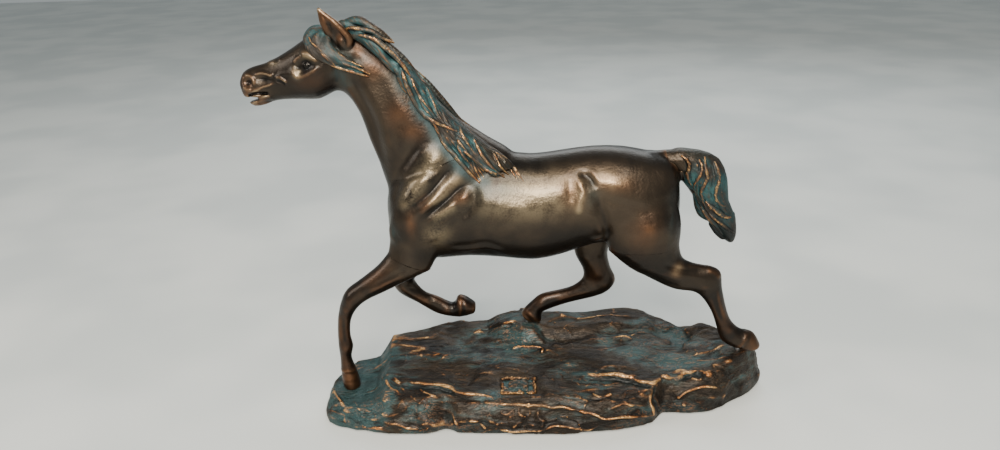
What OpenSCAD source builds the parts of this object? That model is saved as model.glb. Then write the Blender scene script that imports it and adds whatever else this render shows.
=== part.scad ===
// Bronze statue of a trotting horse on a hollow rock base.
// Millimetres, +Z up. The horse faces -X and its display side is -Y.
// The origin is the centre of the underside that the statue rests on.

/* [Overall] */
// Size of the whole statue, as a fraction of its drawn size
size_factor = 1; // [0.8:0.01:1.25]

/* [Castings] */
// Wall of the hollow body castings
wall = 4.5; // [3.5:0.5:6]
// Half of the horse's width at the barrel
barrel_half_width = 27; // [24:0.5:30]
// Distance of the near legs from the middle plane
near_leg_y = 17; // [14:0.5:20]
// Distance of the far legs from the middle plane
far_leg_y = 19; // [16:0.5:22]

/* [Hair] */
// Half of the thickness of one lock of the mane
lock_half = 3.4; // [2.5:0.1:4.5]
// Half of the thickness of one strand of the tail
strand_half = 3.2; // [2.4:0.1:4]

/* [Rock base] */
// Height of the deck in the middle of the rock
deck_z = 27; // [24:0.5:30]
// Rise of the deck towards the back, per millimetre of depth
deck_slope = 0.1; // [0.08:0.01:0.14]
// Thickness of the rock over the hollow at its lowest ledge
ledge_roof = 5; // [4:0.5:6]

/* [Fasteners] */
// Diameter of the studs that hold the hooves
stud_d = 3; // [2.5:0.5:3]
// Diameter of the dowels across the brazed joints
dowel_d = 4; // [3:0.5:4.5]
// Thickness of the plate under the base
plate_t = 2; // [1.5:0.5:2.5]
// Thickness of the felt under the plate
felt_t = 1.5; // [1:0.5:2]

/* [Hidden] */

bronze = [0.27, 0.21, 0.17];
verdigris = [0.25, 0.42, 0.42];
rock_brown = [0.25, 0.20, 0.17];
steel = [0.62, 0.63, 0.65];
felt_green = [0.10, 0.22, 0.16];
dowel_brass = [0.72, 0.58, 0.32];

steps = 3;            // rings drawn between two stations
sides_body = 36;      // points on a ring of the trunk
sides_neck = 28;      // points on a ring of the neck
sides_limb = 18;      // points on a ring of a leg
sides_skull = 24;     // points on a ring of the head
sides_ear = 10;       // points on a ring of an ear
sides_lock = 8;       // points on a ring of a lock of hair
fit_gap = 0.1;        // clearance round dowels and studs
bearing_gap = 0.02;   // film of braze between two castings
core_r = 3;           // radius of the channel left by the casting core
core_low = [-20, 0, 150];
core_high = [-64, 0, 200];

// ---------------------------------------------------------------- lofting
// A station is [x1, z1, x2, z2, y, half_width]: the two ends of a chord in the
// side view, the sideways place of its middle and half the width across it.

function between(p, i, t) =
    let (a = p[max(i - 1, 0)], b = p[i], c = p[i + 1], d = p[min(i + 2, len(p) - 1)])
    0.5 * (2 * b + (c - a) * t + (2 * a - 5 * b + 4 * c - d) * t * t
           + (3 * b - a - 3 * c + d) * t * t * t);

function smooth(p, n = steps) = [
    for (i = [0 : len(p) - 2], s = [0 : n - 1]) between(p, i, s / n),
    p[len(p) - 1]
];

function ring(s, sides) =
    let (mx = (s[0] + s[2]) / 2, mz = (s[1] + s[3]) / 2,
         hx = (s[2] - s[0]) / 2, hz = (s[3] - s[1]) / 2)
    [for (k = [0 : sides - 1]) let (a = 360 * k / sides)
        [mx + hx * cos(a), s[4] + s[5] * sin(a), mz + hz * cos(a)]];

function shrink(s, t) =
    let (hx = (s[2] - s[0]) / 2, hz = (s[3] - s[1]) / 2, h = norm([hx, hz]),
         f = max(h - t, 0.5) / h)
    [s[0] + hx * (1 - f), s[1] + hz * (1 - f), s[2] - hx * (1 - f), s[3] - hz * (1 - f),
     s[4], max(s[5] - t, 0.5)];

// Closed solid through a list of rings with equal numbers of points. The rings
// may run either way round: the faces are turned to point outwards.
module skin(rings) {
    n = len(rings[0]);
    m = len(rings);
    points = [for (r = rings) each r];
    round_way = cross(rings[0][1] - rings[0][0], rings[0][2] - rings[0][1]);
    onward = middle(rings[1]) - middle(rings[0]);
    flip = round_way * onward > 0;
    walls = [for (j = [0 : m - 2], k = [0 : n - 1])
        let (a = j * n + k, b = j * n + (k + 1) % n)
        each [[a, b, a + n], [b, b + n, a + n]]];
    first_cap = [for (k = [n - 1 : -1 : 0]) k];
    last_cap = [for (k = [0 : n - 1]) (m - 1) * n + k];
    faces = concat([first_cap], [last_cap], walls);
    polyhedron(points, flip ? [for (f = faces) reversed(f)] : faces, convexity = 10);
}

function middle(r) = (r[0] + r[floor(len(r) / 2)]) / 2;
function reversed(f) = [for (k = [len(f) - 1 : -1 : 0]) f[k]];

module loft(stations, sides = sides_limb, n = steps)
    skin([for (s = smooth(stations, n)) ring(s, sides)]);

// A lock of hair: [x, y, z, half thickness] along its middle line.
function lock_ring(p, i) =
    let (a = p[max(i - 1, 0)], b = p[min(i + 1, len(p) - 1)],
         t = [b[0] - a[0], b[1] - a[1], b[2] - a[2]],
         f = t / norm(t), u = cross(f, [0, 1, 0]), w = u / norm(u), v = cross(w, f))
    [for (k = [0 : sides_lock - 1]) let (q = 360 * k / sides_lock)
        [p[i][0], p[i][1], p[i][2]] + p[i][3] * (w * cos(q) + v * sin(q) * 0.8)];

module lock(points, n = 2) {
    p = smooth(points, n);
    skin([for (i = [0 : len(p) - 1]) lock_ring(p, i)]);
}

// Triangles of several joined lofts are merged into one closed surface.
module merged() resize([0, 0, 0]) children();

// ---------------------------------------------------------------- stations
w = barrel_half_width;
ny = -near_leg_y;
fy = far_leg_y;

trunk = [
    [-83.5, 137, -83.5, 150, 0, 5],
    [-81, 122, -81, 160, 0, 15],
    [-76, 115, -77, 168, 0, 21],
    [-66, 109, -66, 173, 0, 25],
    [-50, 107, -50, 176, 0, 26],
    [-30, 108, -30, 179, 0, 26],
    [-8, 106, -8, 180, 0, w],
    [14, 103.5, 14, 177.5, 0, w],
    [34, 107.5, 34, 179.5, 0, w],
    [54, 114, 54, 181.5, 0, 26],
    [74, 115, 74, 180.5, 0, 27],
    [92, 114, 92, 176.5, 0, 25],
    [103, 118, 103, 174, 0, 20],
    [109.5, 125, 108.5, 167, 0, 13],
    [112, 134, 110.5, 156, 0, 5]
];
trunk_hollow_front = 5;   // first station of the hollow in the barrel
trunk_hollow_back = 11;   // last station of that hollow

neck_root = [
    [-76, 138, 4, 164, 0, 20],
    [-81, 150, 2, 179, 0, 21],
    [-83.5, 163, -14, 190, 0, 19]
];
neck_free = [
    [-83.5, 163, -14, 190, 0, 19],
    [-87, 177, -30, 202, 0, 16],
    [-91.5, 192, -44, 216, 0, 14],
    [-95, 206, -58, 231, 0, 12.5],
    [-99, 216, -74, 247, 0, 11.5],
    [-105, 223, -93, 259, 0, 10.5],
    [-110, 223.5, -106, 262, 0, 10.5]
];
skull = [
    [-110, 223.5, -106, 262, 0, 10.5],
    [-114, 221.5, -115, 261.5, 0, 12.5],
    [-120, 219, -124, 257, 0, 13],
    [-128, 219, -133, 251.5, 0, 11.5],
    [-137, 219.3, -143, 246, 0, 9],
    [-147, 218.8, -152, 242.3, 0, 7.6],
    [-154, 216.5, -160, 240.3, 0, 7.8],
    [-161, 215.5, -166, 237, 0, 7.4],
    [-165, 218, -168.8, 231, 0, 4.5]
];

near_elbow = [
    [-80, 140, -44, 128, ny + 2, 9],
    [-84, 118, -56, 105, ny, 9.5]
];
near_fore = [
    [-84, 118, -56, 105, ny, 9.5],
    [-92, 109, -71, 98.5, ny - 1, 8.8],
    [-104, 99.5, -88, 90.3, ny - 1, 7.8],
    [-114, 92, -101, 84, ny - 1, 7],
    [-119.5, 82, -109, 77, ny - 1, 6.4],
    [-122.5, 70, -113.7, 68, ny - 1, 5],
    [-124, 58, -115.2, 57, ny - 1, 4.6],
    [-124.5, 48, -114.4, 47.5, ny - 1, 5.4],
    [-124.4, 39, -116.4, 38.5, ny - 1, 4.6],
    [-125, 29, -114, 27.5, ny - 1, 6],
    [-125, 20, -112.5, 19, ny - 1, 7],
    [-124, 14.2, -112, 14.2, ny - 1, 7.2]
];
far_elbow = [
    [-78, 138, -42, 126, fy - 2, 9],
    [-80, 114, -52, 104, fy, 9]
];
far_fore = [
    [-80, 114, -52, 104, fy, 9],
    [-84, 100, -62, 93, fy + 1, 8],
    [-87, 88, -68, 84, fy + 1, 7.2],
    [-88.5, 77, -72.5, 80, fy + 1, 6.8],
    [-84, 68.5, -71, 75, fy + 1, 6.4],
    [-72, 60.3, -65, 68.5, fy + 1, 5],
    [-60, 51.4, -56, 64, fy + 1, 4.6],
    [-52, 48.5, -49.5, 60, fy + 1, 5.2],
    [-46, 47.3, -44.6, 58.5, fy + 1, 5.2],
    [-41, 46.8, -41.5, 64.5, fy + 1, 6.6],
    [-35, 48, -36.5, 63.6, fy + 1, 7],
    [-29.6, 49.8, -28.6, 57.6, fy + 1, 5]
];
near_haunch = [
    [60, 150, 106, 152, -12, 13],
    [61, 132, 110.5, 134, ny + 1, 13],
    [62, 115, 110, 116, ny, 11.5]
];
near_hind = [
    [62, 115, 110, 116, ny, 11.5],
    [76, 102, 113, 107, ny, 9.5],
    [94, 91, 121, 102.6, ny, 7.8],
    [108, 84, 131, 100.2, ny, 6.8],
    [121, 81.5, 139, 96, ny, 6.4],
    [128.5, 75.5, 141, 84, ny, 5.6],
    [135.5, 64, 145.5, 67, ny, 4.8],
    [140, 51.5, 150, 57, ny, 5],
    [144, 41.5, 157, 50.5, ny, 5.6],
    [156, 34.6, 166, 47.5, ny, 6.6],
    [163.5, 33.7, 172, 37, ny, 6]
];
far_haunch = [
    [36, 148, 76, 148, 12, 13],
    [39, 128, 74, 128, fy - 1, 11],
    [42, 108, 70, 108, fy, 9.5]
];
far_hind = [
    [42, 108, 70, 108, fy, 9.5],
    [44.5, 94.5, 68, 95.5, fy + 1, 8.5],
    [50, 83, 70.5, 83.5, fy + 2, 7.4],
    [50, 74, 74.7, 72, fy + 3, 6.4],
    [42, 67.5, 66, 61.5, fy + 3, 6],
    [32, 64.4, 40, 54, fy + 4, 4.8],
    [20, 61.8, 24, 48.4, fy + 4, 5.2],
    [12.5, 55.6, 20, 46, fy + 4, 5.6],
    [6.5, 49.5, 19.5, 38.5, fy + 4, 6.4],
    [4.2, 45.5, 11, 38.6, fy + 4, 5]
];
dock = [
    [92, 165, 90, 178, 0, 8],
    [101, 167, 101, 176.6, 0, 5.5]
];
tail_core = [
    [101, 167, 101, 176.6, 0, 5.5],
    [107, 164.3, 111, 177.4, 0, 7],
    [113, 156, 123, 177.5, 0, 8.5],
    [119, 147, 137, 171, 0, 9.5],
    [124, 138, 143.5, 157, 0, 9.5],
    [130, 127.5, 145.5, 142, 0, 9],
    [138, 120, 151, 130, 0, 8],
    [143.5, 112.5, 153, 117, 0, 6],
    [148, 109, 151.5, 110, 0, 3]
];

// ---------------------------------------------------------------- castings
module hollow(stations) {
    loft([for (s = stations) shrink(s, wall)], 24, 2);
}

// Channel that joins the hollows of the trunk and the neck, left by the core.
module core_channel() hull() {
    translate(core_low) sphere(r = core_r, $fn = 16);
    translate(core_high) sphere(r = core_r, $fn = 16);
}

function part_of(list, a, b) = [for (i = [a : b]) list[i]];

module torso() color(bronze) merged() difference() {
    union() {
        loft(trunk, sides_body, 2);
        loft(neck_root, sides_neck);
        loft(near_elbow);
        loft(far_elbow);
        loft(near_haunch);
        loft(far_haunch);
        loft(dock);
        shoulder_mass(-1);
        shoulder_mass(1);
    }
    hollow(part_of(trunk, trunk_hollow_front, trunk_hollow_back));
    core_channel();
    joint_holes();
}

// Flat muscle of one shoulder, side = -1 for the near one.
module shoulder_mass(side) loft([
    [-70, 168, -36, 176, side * 14, 8],
    [-79, 148, -42, 156, side * 17, 10],
    [-82, 130, -44, 134, side * 17, 9.5],
    [-80, 116, -50, 114, side * 15, 8]
]);

module neck() color(bronze) merged() difference() {
    loft(neck_free, sides_neck);
    hollow(part_of(neck_free, 1, 4));
    core_channel();
    joint_holes();
}

// Near ear, pricked, and far ear, turned back against the mane.
near_ear = [
    [-110, 253, -100, 254.5, -6, 2.6],
    [-111, 260, -102.5, 261.5, -8, 3],
    [-113, 267, -106, 268, -9, 2.4],
    [-113.2, 272, -109.3, 273, -9.3, 1.6],
    [-112.9, 275.8, -112, 276, -9.3, 0.5]
];
far_ear = [
    [-108, 253, -98, 252, 6, 2.6],
    [-107, 259, -97.5, 257, 7.5, 3],
    [-103.5, 264, -97, 261.5, 8, 2.4],
    [-100, 267, -97, 265.5, 8.2, 1.4],
    [-97.6, 268.6, -97, 268.2, 8.2, 0.5]
];

module mouth_gap() translate([0, 15, 0]) rotate([90, 0, 0])
    linear_extrude(30)
        polygon([[-175, 217.6], [-175, 222.2], [-158, 222.4], [-151.5, 224.4], [-158, 219.6]]);

module head() color(bronze) merged() difference() {
    union() {
        loft(skull, sides_skull, 2);
        loft(near_ear, sides_ear, 2);
        loft(far_ear, sides_ear, 2);
    }
    mouth_gap();
    joint_holes();
}

module left_foreleg() color(bronze) merged() difference() {
    loft(near_fore);
    joint_holes();
}

module right_foreleg() color(bronze) merged() difference() {
    loft(far_fore);
    joint_holes();
}

module left_hindleg() color(bronze) merged() difference() {
    loft(near_hind);
    joint_holes();
}

module right_hindleg() color(bronze) merged() difference() {
    loft(far_hind);
    joint_holes();
}

// ---------------------------------------------------------------- hair
// Each row: start, bend and tip of a lock in the side view, and its depth.
mane_locks = [
    [[-108, 262], [-98, 268], [-90, 263], [-86, 255], -5],
    [[-100, 262], [-90, 267], [-80, 261], [-72, 252], -3],
    [[-98, 258], [-88, 262], [-79, 252], [-74, 243], -9],
    [[-92, 259], [-81, 257], [-72, 244], [-66, 232], -10],
    [[-88, 257], [-75, 253], [-66, 241], [-58, 232], -6],
    [[-80, 250], [-68, 243], [-63, 228], [-59, 216], -11],
    [[-78, 250], [-64, 243], [-54, 230], [-48, 221], -5],
    [[-71, 242], [-60, 234], [-55, 218], [-50, 205], -12],
    [[-68, 240], [-53, 230], [-45, 218], [-38, 208], -6],
    [[-63, 234], [-53, 222], [-46, 207], [-36, 196], -14],
    [[-59, 229], [-46, 217], [-37, 206], [-30, 194], -10],
    [[-56, 225], [-43, 215], [-33, 206], [-26, 199], -4],
    [[-50, 217], [-42, 205], [-36, 192], [-28, 179], -15],
    [[-46, 214], [-34, 204], [-25, 194], [-18, 184], -11],
    [[-43, 210], [-30, 202], [-18, 193], [-9, 185], -5],
    [[-40, 207], [-31, 195], [-27, 178], [-18, 163], -18],
    [[-34, 203], [-23, 193], [-12, 183], [-5, 170], -15],
    [[-30, 199], [-17, 192], [-5, 184], [5, 177], -8],
    [[-27, 194], [-17, 182], [-8, 172], [8, 162], -19],
    [[-24, 194], [-10, 186], [0, 178], [9, 169], -14],
    [[-84, 255], [-72, 250], [-62, 238], [-55, 226], 6],
    [[-66, 240], [-52, 231], [-44, 218], [-38, 206], 8],
    [[-50, 224], [-38, 213], [-28, 203], [-20, 193], 9]
];

// The locks lie this much lower than their rows say, so that they hug the crest.
lock_drop = 3;

module mane_lock(row) {
    y = row[4];
    in = y * 0.55;
    translate([-lock_drop / 2, 0, -lock_drop]) lock([
        [row[0][0], in, row[0][1], lock_half * 0.8],
        [row[1][0], y * 0.85, row[1][1], lock_half * 1.15],
        [row[2][0], y, row[2][1], lock_half],
        [row[3][0], y, row[3][1] + lock_drop / 2, 0.7]
    ], 3);
}

mane_bed = [
    [-112, 253, -107, 262, -1, 4],
    [-98, 252, -95, 263.5, -2, 5.5],
    [-84, 241, -76, 252, -3, 7],
    [-70, 224, -59, 236, -4, 8],
    [-57, 207, -45, 218.5, -5, 9],
    [-46, 192, -31, 203.5, -7, 10],
    [-33, 179, -17, 191.5, -9, 10],
    [-21, 169, -5, 181, -11, 9],
    [-7, 165, 4, 175, -12, 6]
];

module mane() color(verdigris) merged() difference() {
    union() {
        loft(mane_bed, 16, 2);
        for (row = mane_locks) mane_lock(row);
    }
    crest_cut();
    joint_holes();
}

// Room for the neck, the shoulders and the head inside the mane.
module crest_cut() {
    loft(neck_free, sides_neck);
    loft(neck_root, sides_neck);
    loft(skull, sides_skull, 2);
    loft(trunk, sides_body, 2);
    shoulder_mass(-1);
    shoulder_mass(1);
    loft(near_ear, sides_ear, 2);
    loft(far_ear, sides_ear, 2);
}

forelock_locks = [
    [[-113, 262, -2], [-121, 257, -8], [-117, 249, -13], [-106, 241, -13.5], 3],
    [[-112, 263, -3], [-117, 256, -10], [-107, 247, -14], [-92, 239, -12.5], 3],
    [[-110, 262, -4], [-112, 253, -12], [-101, 244, -13], [-87, 234, -11.5], 3.2],
    [[-112, 263, 2], [-121, 259, 3], [-124, 256, 0], [-122, 252, -6], 2.6],
    [[-110, 262, 3], [-118, 262, 4], [-121, 258, 8], [-117, 250, 12], 2.6]
];

module forelock() color(verdigris) merged() difference() {
    for (row = forelock_locks) lock([
        [row[0][0], row[0][2], row[0][1], row[4] * 0.8],
        [row[1][0], row[1][2], row[1][1], row[4]],
        [row[2][0], row[2][2], row[2][1], row[4]],
        [row[3][0], row[3][2], row[3][1], 0.7]
    ], 2);
    crest_cut();
    mane_solid();
}

module mane_solid() {
    loft(mane_bed, 16, 2);
    for (row = mane_locks) mane_lock(row);
}

// Strands that wind round the core of the tail.
tail_line = [[104, 172], [116, 169], [129, 160], [134, 148], [137.5, 135], [145, 124], [149, 112]];
tail_bulge = [6, 8.5, 10, 9.5, 8.5, 6.5, 3];
strand_count = 7;

module tail_strand(i) {
    start = 360 * i / strand_count;
    lock([for (k = [0 : len(tail_line) - 1]) let (a = start + 38 * k, r = tail_bulge[k] * 0.8)
        [tail_line[k][0] + r * cos(a) * 0.75, r * sin(a), tail_line[k][1] + r * cos(a) * 0.75,
         k == len(tail_line) - 1 ? 1 : strand_half]], 2);
}

module tail() color(verdigris) merged() difference() {
    union() {
        loft(tail_core, 20, 2);
        for (i = [0 : strand_count - 1]) tail_strand(i);
    }
    loft(dock);
    loft(trunk, sides_body, 2);
    joint_holes();
}

// ---------------------------------------------------------------- dowels
dowel_half = 8;

// Each pin: its middle, and how far its axis leans from +Z towards +X.
neck_pins = [
    [-66, 0, 169.5, -21],
    [-34, 0, 182, -21]
];
head_pins = [[-107.8, 0, 243, -84]];
leg_pins = [
    [-70, ny, 111.5, 26],
    [-66, fy, 109, 20],
    [86.5, ny, 115.5, -1],
    [56, fy, 108, 0]
];
tail_pins = [[101, 0, 171.8, 90]];
// Middles of the pins that run sideways from the neck into the mane.
mane_pin_list = [
    [-36, -11.6, 196],
    [-54, -6.5, 222],
    [-68, -6.8, 236]
];

module pins(list, d, half) for (p = list)
    translate([p[0], p[1], p[2]]) rotate([0, p[3], 0])
        cylinder(h = 2 * half, r = d / 2, center = true, $fn = 24);

module side_pins(list, d, half) for (p = list)
    translate(p) rotate([90, 0, 0])
        cylinder(h = 2 * half, r = d / 2, center = true, $fn = 16);

tail_pin_d = 3;
mane_pin_d = 2.5;
mane_pin_half = 4;

module joint_holes() {
    gap = 2 * fit_gap;
    pins(concat(neck_pins, head_pins, leg_pins), dowel_d + gap, dowel_half + fit_gap);
    pins(tail_pins, tail_pin_d + gap, dowel_half + fit_gap);
    side_pins(mane_pin_list, mane_pin_d + gap, mane_pin_half + fit_gap);
    studs(stud_d + gap, fit_gap);
}

module neck_dowels() color(dowel_brass) pins(neck_pins, dowel_d, dowel_half);
module head_dowel() color(dowel_brass) pins(head_pins, dowel_d, dowel_half);
module leg_dowels() color(dowel_brass) pins(leg_pins, dowel_d, dowel_half);
module tail_dowel() color(dowel_brass) pins(tail_pins, tail_pin_d, dowel_half);
module mane_pins() color(dowel_brass) side_pins(mane_pin_list, mane_pin_d, mane_pin_half);

// ---------------------------------------------------------------- rock base
// Outline of the foot of the rock, anticlockwise from its left end.
rock_outline = [
    [-134, -24], [-130, -40], [-117, -47], [-100, -53], [-82, -56], [-63, -57], [-50, -52],
    [-42, -56], [-20, -58], [5, -59], [30, -60], [55, -60], [74, -58], [90, -53], [99, -43],
    [118, -44], [134, -42], [149, -33], [165, -22], [176, -8], [168, 5], [152, 13], [140, 20],
    [124, 27], [112, 40], [100, 51], [70, 53], [45, 49], [22, 49], [5, 56], [-12, 53],
    [-30, 47], [-55, 42], [-76, 34], [-92, 27], [-102, 20], [-122, 16], [-132, 0]
];
spine_y = -2;
spine_left = -112;
spine_right = 140;

// Hooves on the rock: x, y, height of the seat, reach of its flat.
seats = [
    [-118, ny - 1, 14.2, 9],
    [9, fy + 4, 38.8, 8],
    [156, ny, 33.4, 9]
];

function ease(t) = let (c = min(max(t, 0), 1)) c * c * (3 - 2 * c);

function deck(x, y) =
    let (slope = deck_z + deck_slope * y,
         ledge = (slope - 13.5) * (1 - ease((x + 104) / 14)),
         right = 4.5 * ease((x - 118) / 26),
         shelf = ease((x + 22) / 14) * (1 - ease((x - 96) / 14)),
         back = shelf * (7 * ease((y - 10) / 10) - 4 * ease((y - 30) / 14)),
         ripple = 0.8 * sin(5 * x + 9 * y) + 0.6 * sin(9 * x - 7 * y))
    slope - ledge + right + back + ripple;

function seated(x, y, z, i = 0) =
    i == len(seats) ? z :
    let (s = seats[i], d = norm([x - s[0], y - s[1]]), k = 1 - ease((d - s[3]) / 9))
    seated(x, y, z * (1 - k) + s[2] * k, i + 1);

plaque_c = [0, -37.5];
plaque_l = 25;
plaque_w = 18;
plaque_t = 2.2;
plaque_z = deck_z + deck_slope * plaque_c[1];
plaque_tilt = atan(deck_slope);

function rock_top(x, y) =
    let (d = max(abs(x - plaque_c[0]) - plaque_l / 2, abs(y - plaque_c[1]) - plaque_w / 2),
         k = 1 - ease((d - 1) / 6),
         flat = deck_z + deck_slope * y)
    seated(x, y, deck(x, y) * (1 - k) + flat * k);

foot_z = felt_t;

// One ring of the rock: inwards = 0 at the outline and 1 on the spine.
function rock_ring(outline, inwards, rise) = [
    for (p = outline)
        let (sx = min(max(p[0], spine_left), spine_right),
             x = p[0] + (sx - p[0]) * inwards,
             y = p[1] + (spine_y - p[1]) * inwards,
             top = rock_top(x, y))
        [x, y, rise >= 1 ? top : foot_z + (top - foot_z) * rise]
];

function closed(p, n) = [
    for (i = [0 : len(p) - 1], s = [0 : n - 1])
        let (q = [p[(i + len(p) - 1) % len(p)], p[i], p[(i + 1) % len(p)], p[(i + 2) % len(p)]])
        between(q, 1, s / n)
];

module rock_block() {
    outline = closed(rock_outline, 2);
    profile = [
        [0.02, 0], [-0.02, 0.3], [0.03, 0.55], [0.09, 0.8], [0.16, 1],
        [0.3, 1], [0.44, 1], [0.58, 1], [0.72, 1], [0.84, 1], [0.93, 1], [0.985, 1]
    ];
    skin([for (p = profile) rock_ring(outline, p[0], p[1])]);
}

rim = 9;            // width of the rock left round the hollow
hollow_low = 14.2 - ledge_roof;
hollow_high = 19;
boss_r = 7;
washer_t = 0.8;
washer_r = 4.5;
nut_t = 2.4;
nut_across_flats = 5.5;
screw_boss_r = 5;
screw_d = 2;
screw_len = 9;
screw_spots = [[-92, -30], [-74, 22], [118, -26], [92, 40]];
plate_recess = 0.3;

module rock_plan(inset) offset(delta = -inset) polygon(rock_outline);

function nut_roof(s) = s[2] > 20 ? 12 : hollow_low;

module rock_base() color(rock_brown) merged() difference() {
    rock_block();
    // step that the plate fits into
    translate([0, 0, foot_z - 1]) linear_extrude(1 + plate_t) rock_plan(rim - 3.5);
    // hollow, lower under the left ledge
    difference() {
        translate([0, 0, foot_z + plate_t - 1]) linear_extrude(hollow_low - foot_z - plate_t + 1)
            rock_plan(rim);
        screw_bosses();
    }
    difference() {
        translate([0, 0, hollow_low - 0.5]) linear_extrude(hollow_high - hollow_low + 0.5)
            intersection() {
                rock_plan(rim + 3);
                translate([-92, -80]) square([300, 160]);
            }
        for (s = seats) if (s[2] > 20) translate([s[0], s[1], nut_roof(s)])
            cylinder(h = 20, r = boss_r, $fn = 24);
        screw_bosses();
    }
    plaque_pocket();
    studs(stud_d + 2 * fit_gap, fit_gap);
    for (p = screw_spots) translate([p[0], p[1], 0])
        cylinder(h = foot_z + plate_t + screw_len, r = screw_d / 2 + fit_gap, $fn = 16);
}

module screw_bosses() for (p = screw_spots) translate([p[0], p[1], foot_z + plate_t])
    cylinder(h = 20, r = screw_boss_r, $fn = 24);

module plaque_frame() translate([plaque_c[0], plaque_c[1], plaque_z]) rotate([plaque_tilt, 0, 0])
    children();

module plaque_pocket() plaque_frame() translate([0, 0, -1.2])
    linear_extrude(12) square([plaque_l + 0.2, plaque_w + 0.2], center = true);

module plaque() color(rock_brown) plaque_frame() translate([0, 0, -1.2]) difference() {
    union() {
        linear_extrude(plaque_t + 0.8) square([plaque_l, plaque_w], center = true);
        translate([0, 0, plaque_t]) scale([1.5, 1, 0.35]) sphere(r = 4.5, $fn = 32);
    }
    translate([0, 0, plaque_t - 0.6]) linear_extrude(5) difference() {
        square([plaque_l - 4, plaque_w - 4], center = true);
        scale([1.5, 1]) circle(r = 5, $fn = 32);
    }
}

// ---------------------------------------------------------------- fasteners
stud_grip = 9;        // length of stud inside a hoof
stud_tail = nut_t + 0.8;

stud_base = [for (s = seats) nut_roof(s) - washer_t - stud_tail];

module studs(d, extra) for (i = [0 : len(seats) - 1])
    translate([seats[i][0], seats[i][1], stud_base[i]])
        cylinder(h = seats[i][2] + stud_grip - stud_base[i] + extra, r = d / 2, $fn = 24);

module mounting_studs() color(steel) studs(stud_d, 0);

module stud_washers() color(steel) for (i = [0 : len(seats) - 1])
    translate([seats[i][0], seats[i][1], nut_roof(seats[i]) - washer_t - bearing_gap])
        difference() {
            cylinder(h = washer_t, r = washer_r, $fn = 32);
            translate([0, 0, -1]) cylinder(h = 3, r = stud_d / 2 + fit_gap, $fn = 24);
        }

module stud_nuts() color(steel) for (i = [0 : len(seats) - 1])
    translate([seats[i][0], seats[i][1], nut_roof(seats[i]) - washer_t - nut_t - 2 * bearing_gap])
        difference() {
            cylinder(h = nut_t, r = nut_across_flats / 2 / cos(30), $fn = 6);
            translate([0, 0, -1]) cylinder(h = nut_t + 2, r = stud_d / 2 + bearing_gap, $fn = 24);
        }

module base_plate() color(steel) difference() {
    translate([0, 0, foot_z]) linear_extrude(plate_t - bearing_gap) rock_plan(rim - 3.5 + plate_recess);
    for (p = screw_spots) translate([p[0], p[1], foot_z - 1]) {
        cylinder(h = 5, r = screw_d / 2 + fit_gap, $fn = 24);
        cylinder(h = 2, r1 = screw_d + 1 + fit_gap, r2 = screw_d / 2 + fit_gap, $fn = 24);
    }
}

module plate_screws() color(steel) for (p = screw_spots)
    translate([p[0], p[1], foot_z + bearing_gap]) {
        cylinder(h = 1, r1 = screw_d, r2 = screw_d / 2, $fn = 24);
        cylinder(h = screw_len, r = screw_d / 2, $fn = 24);
    }

module felt_pad() color(felt_green) linear_extrude(felt_t - bearing_gap) rock_plan(2.5);

// ---------------------------------------------------------------- assembly
module sized() scale(size_factor) children();

sized() torso();
sized() neck();
sized() head();
sized() mane();
sized() forelock();
sized() tail();
sized() left_foreleg();
sized() right_foreleg();
sized() left_hindleg();
sized() right_hindleg();
sized() neck_dowels();
sized() head_dowel();
sized() leg_dowels();
sized() tail_dowel();
sized() mane_pins();
sized() rock_base();
sized() plaque();
sized() mounting_studs();
sized() stud_washers();
sized() stud_nuts();
sized() base_plate();
sized() plate_screws();
sized() felt_pad();
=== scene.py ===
"""Looks of the cast horse statue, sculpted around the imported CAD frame.

The sculpting works in millimetres on signed distance fields, and the finished
meshes are written in metres. The row frame is the CAD's: the horse faces -X,
its display side is -Y and +Z is up.
"""
import math

import bpy
import numpy as np
import openvdb as vdb
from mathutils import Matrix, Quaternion, Vector


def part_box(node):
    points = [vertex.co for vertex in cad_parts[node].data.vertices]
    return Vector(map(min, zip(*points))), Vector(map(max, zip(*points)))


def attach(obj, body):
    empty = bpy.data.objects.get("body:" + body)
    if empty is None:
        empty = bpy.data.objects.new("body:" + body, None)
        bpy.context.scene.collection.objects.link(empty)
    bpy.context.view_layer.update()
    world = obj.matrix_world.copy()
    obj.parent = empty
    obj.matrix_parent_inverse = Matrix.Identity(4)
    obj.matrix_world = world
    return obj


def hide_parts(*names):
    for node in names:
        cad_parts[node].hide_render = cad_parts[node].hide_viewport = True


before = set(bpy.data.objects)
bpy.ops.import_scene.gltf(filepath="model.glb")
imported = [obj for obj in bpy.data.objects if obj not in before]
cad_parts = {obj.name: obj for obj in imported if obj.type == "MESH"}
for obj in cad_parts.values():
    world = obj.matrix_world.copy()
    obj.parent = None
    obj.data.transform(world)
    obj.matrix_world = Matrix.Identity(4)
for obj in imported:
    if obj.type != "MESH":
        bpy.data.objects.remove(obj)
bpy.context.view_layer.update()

MM = 0.001
BAND = 9            # half width of a level set, in voxels
NEAR, FAR = -1, 1   # the display side and the side behind it


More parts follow.
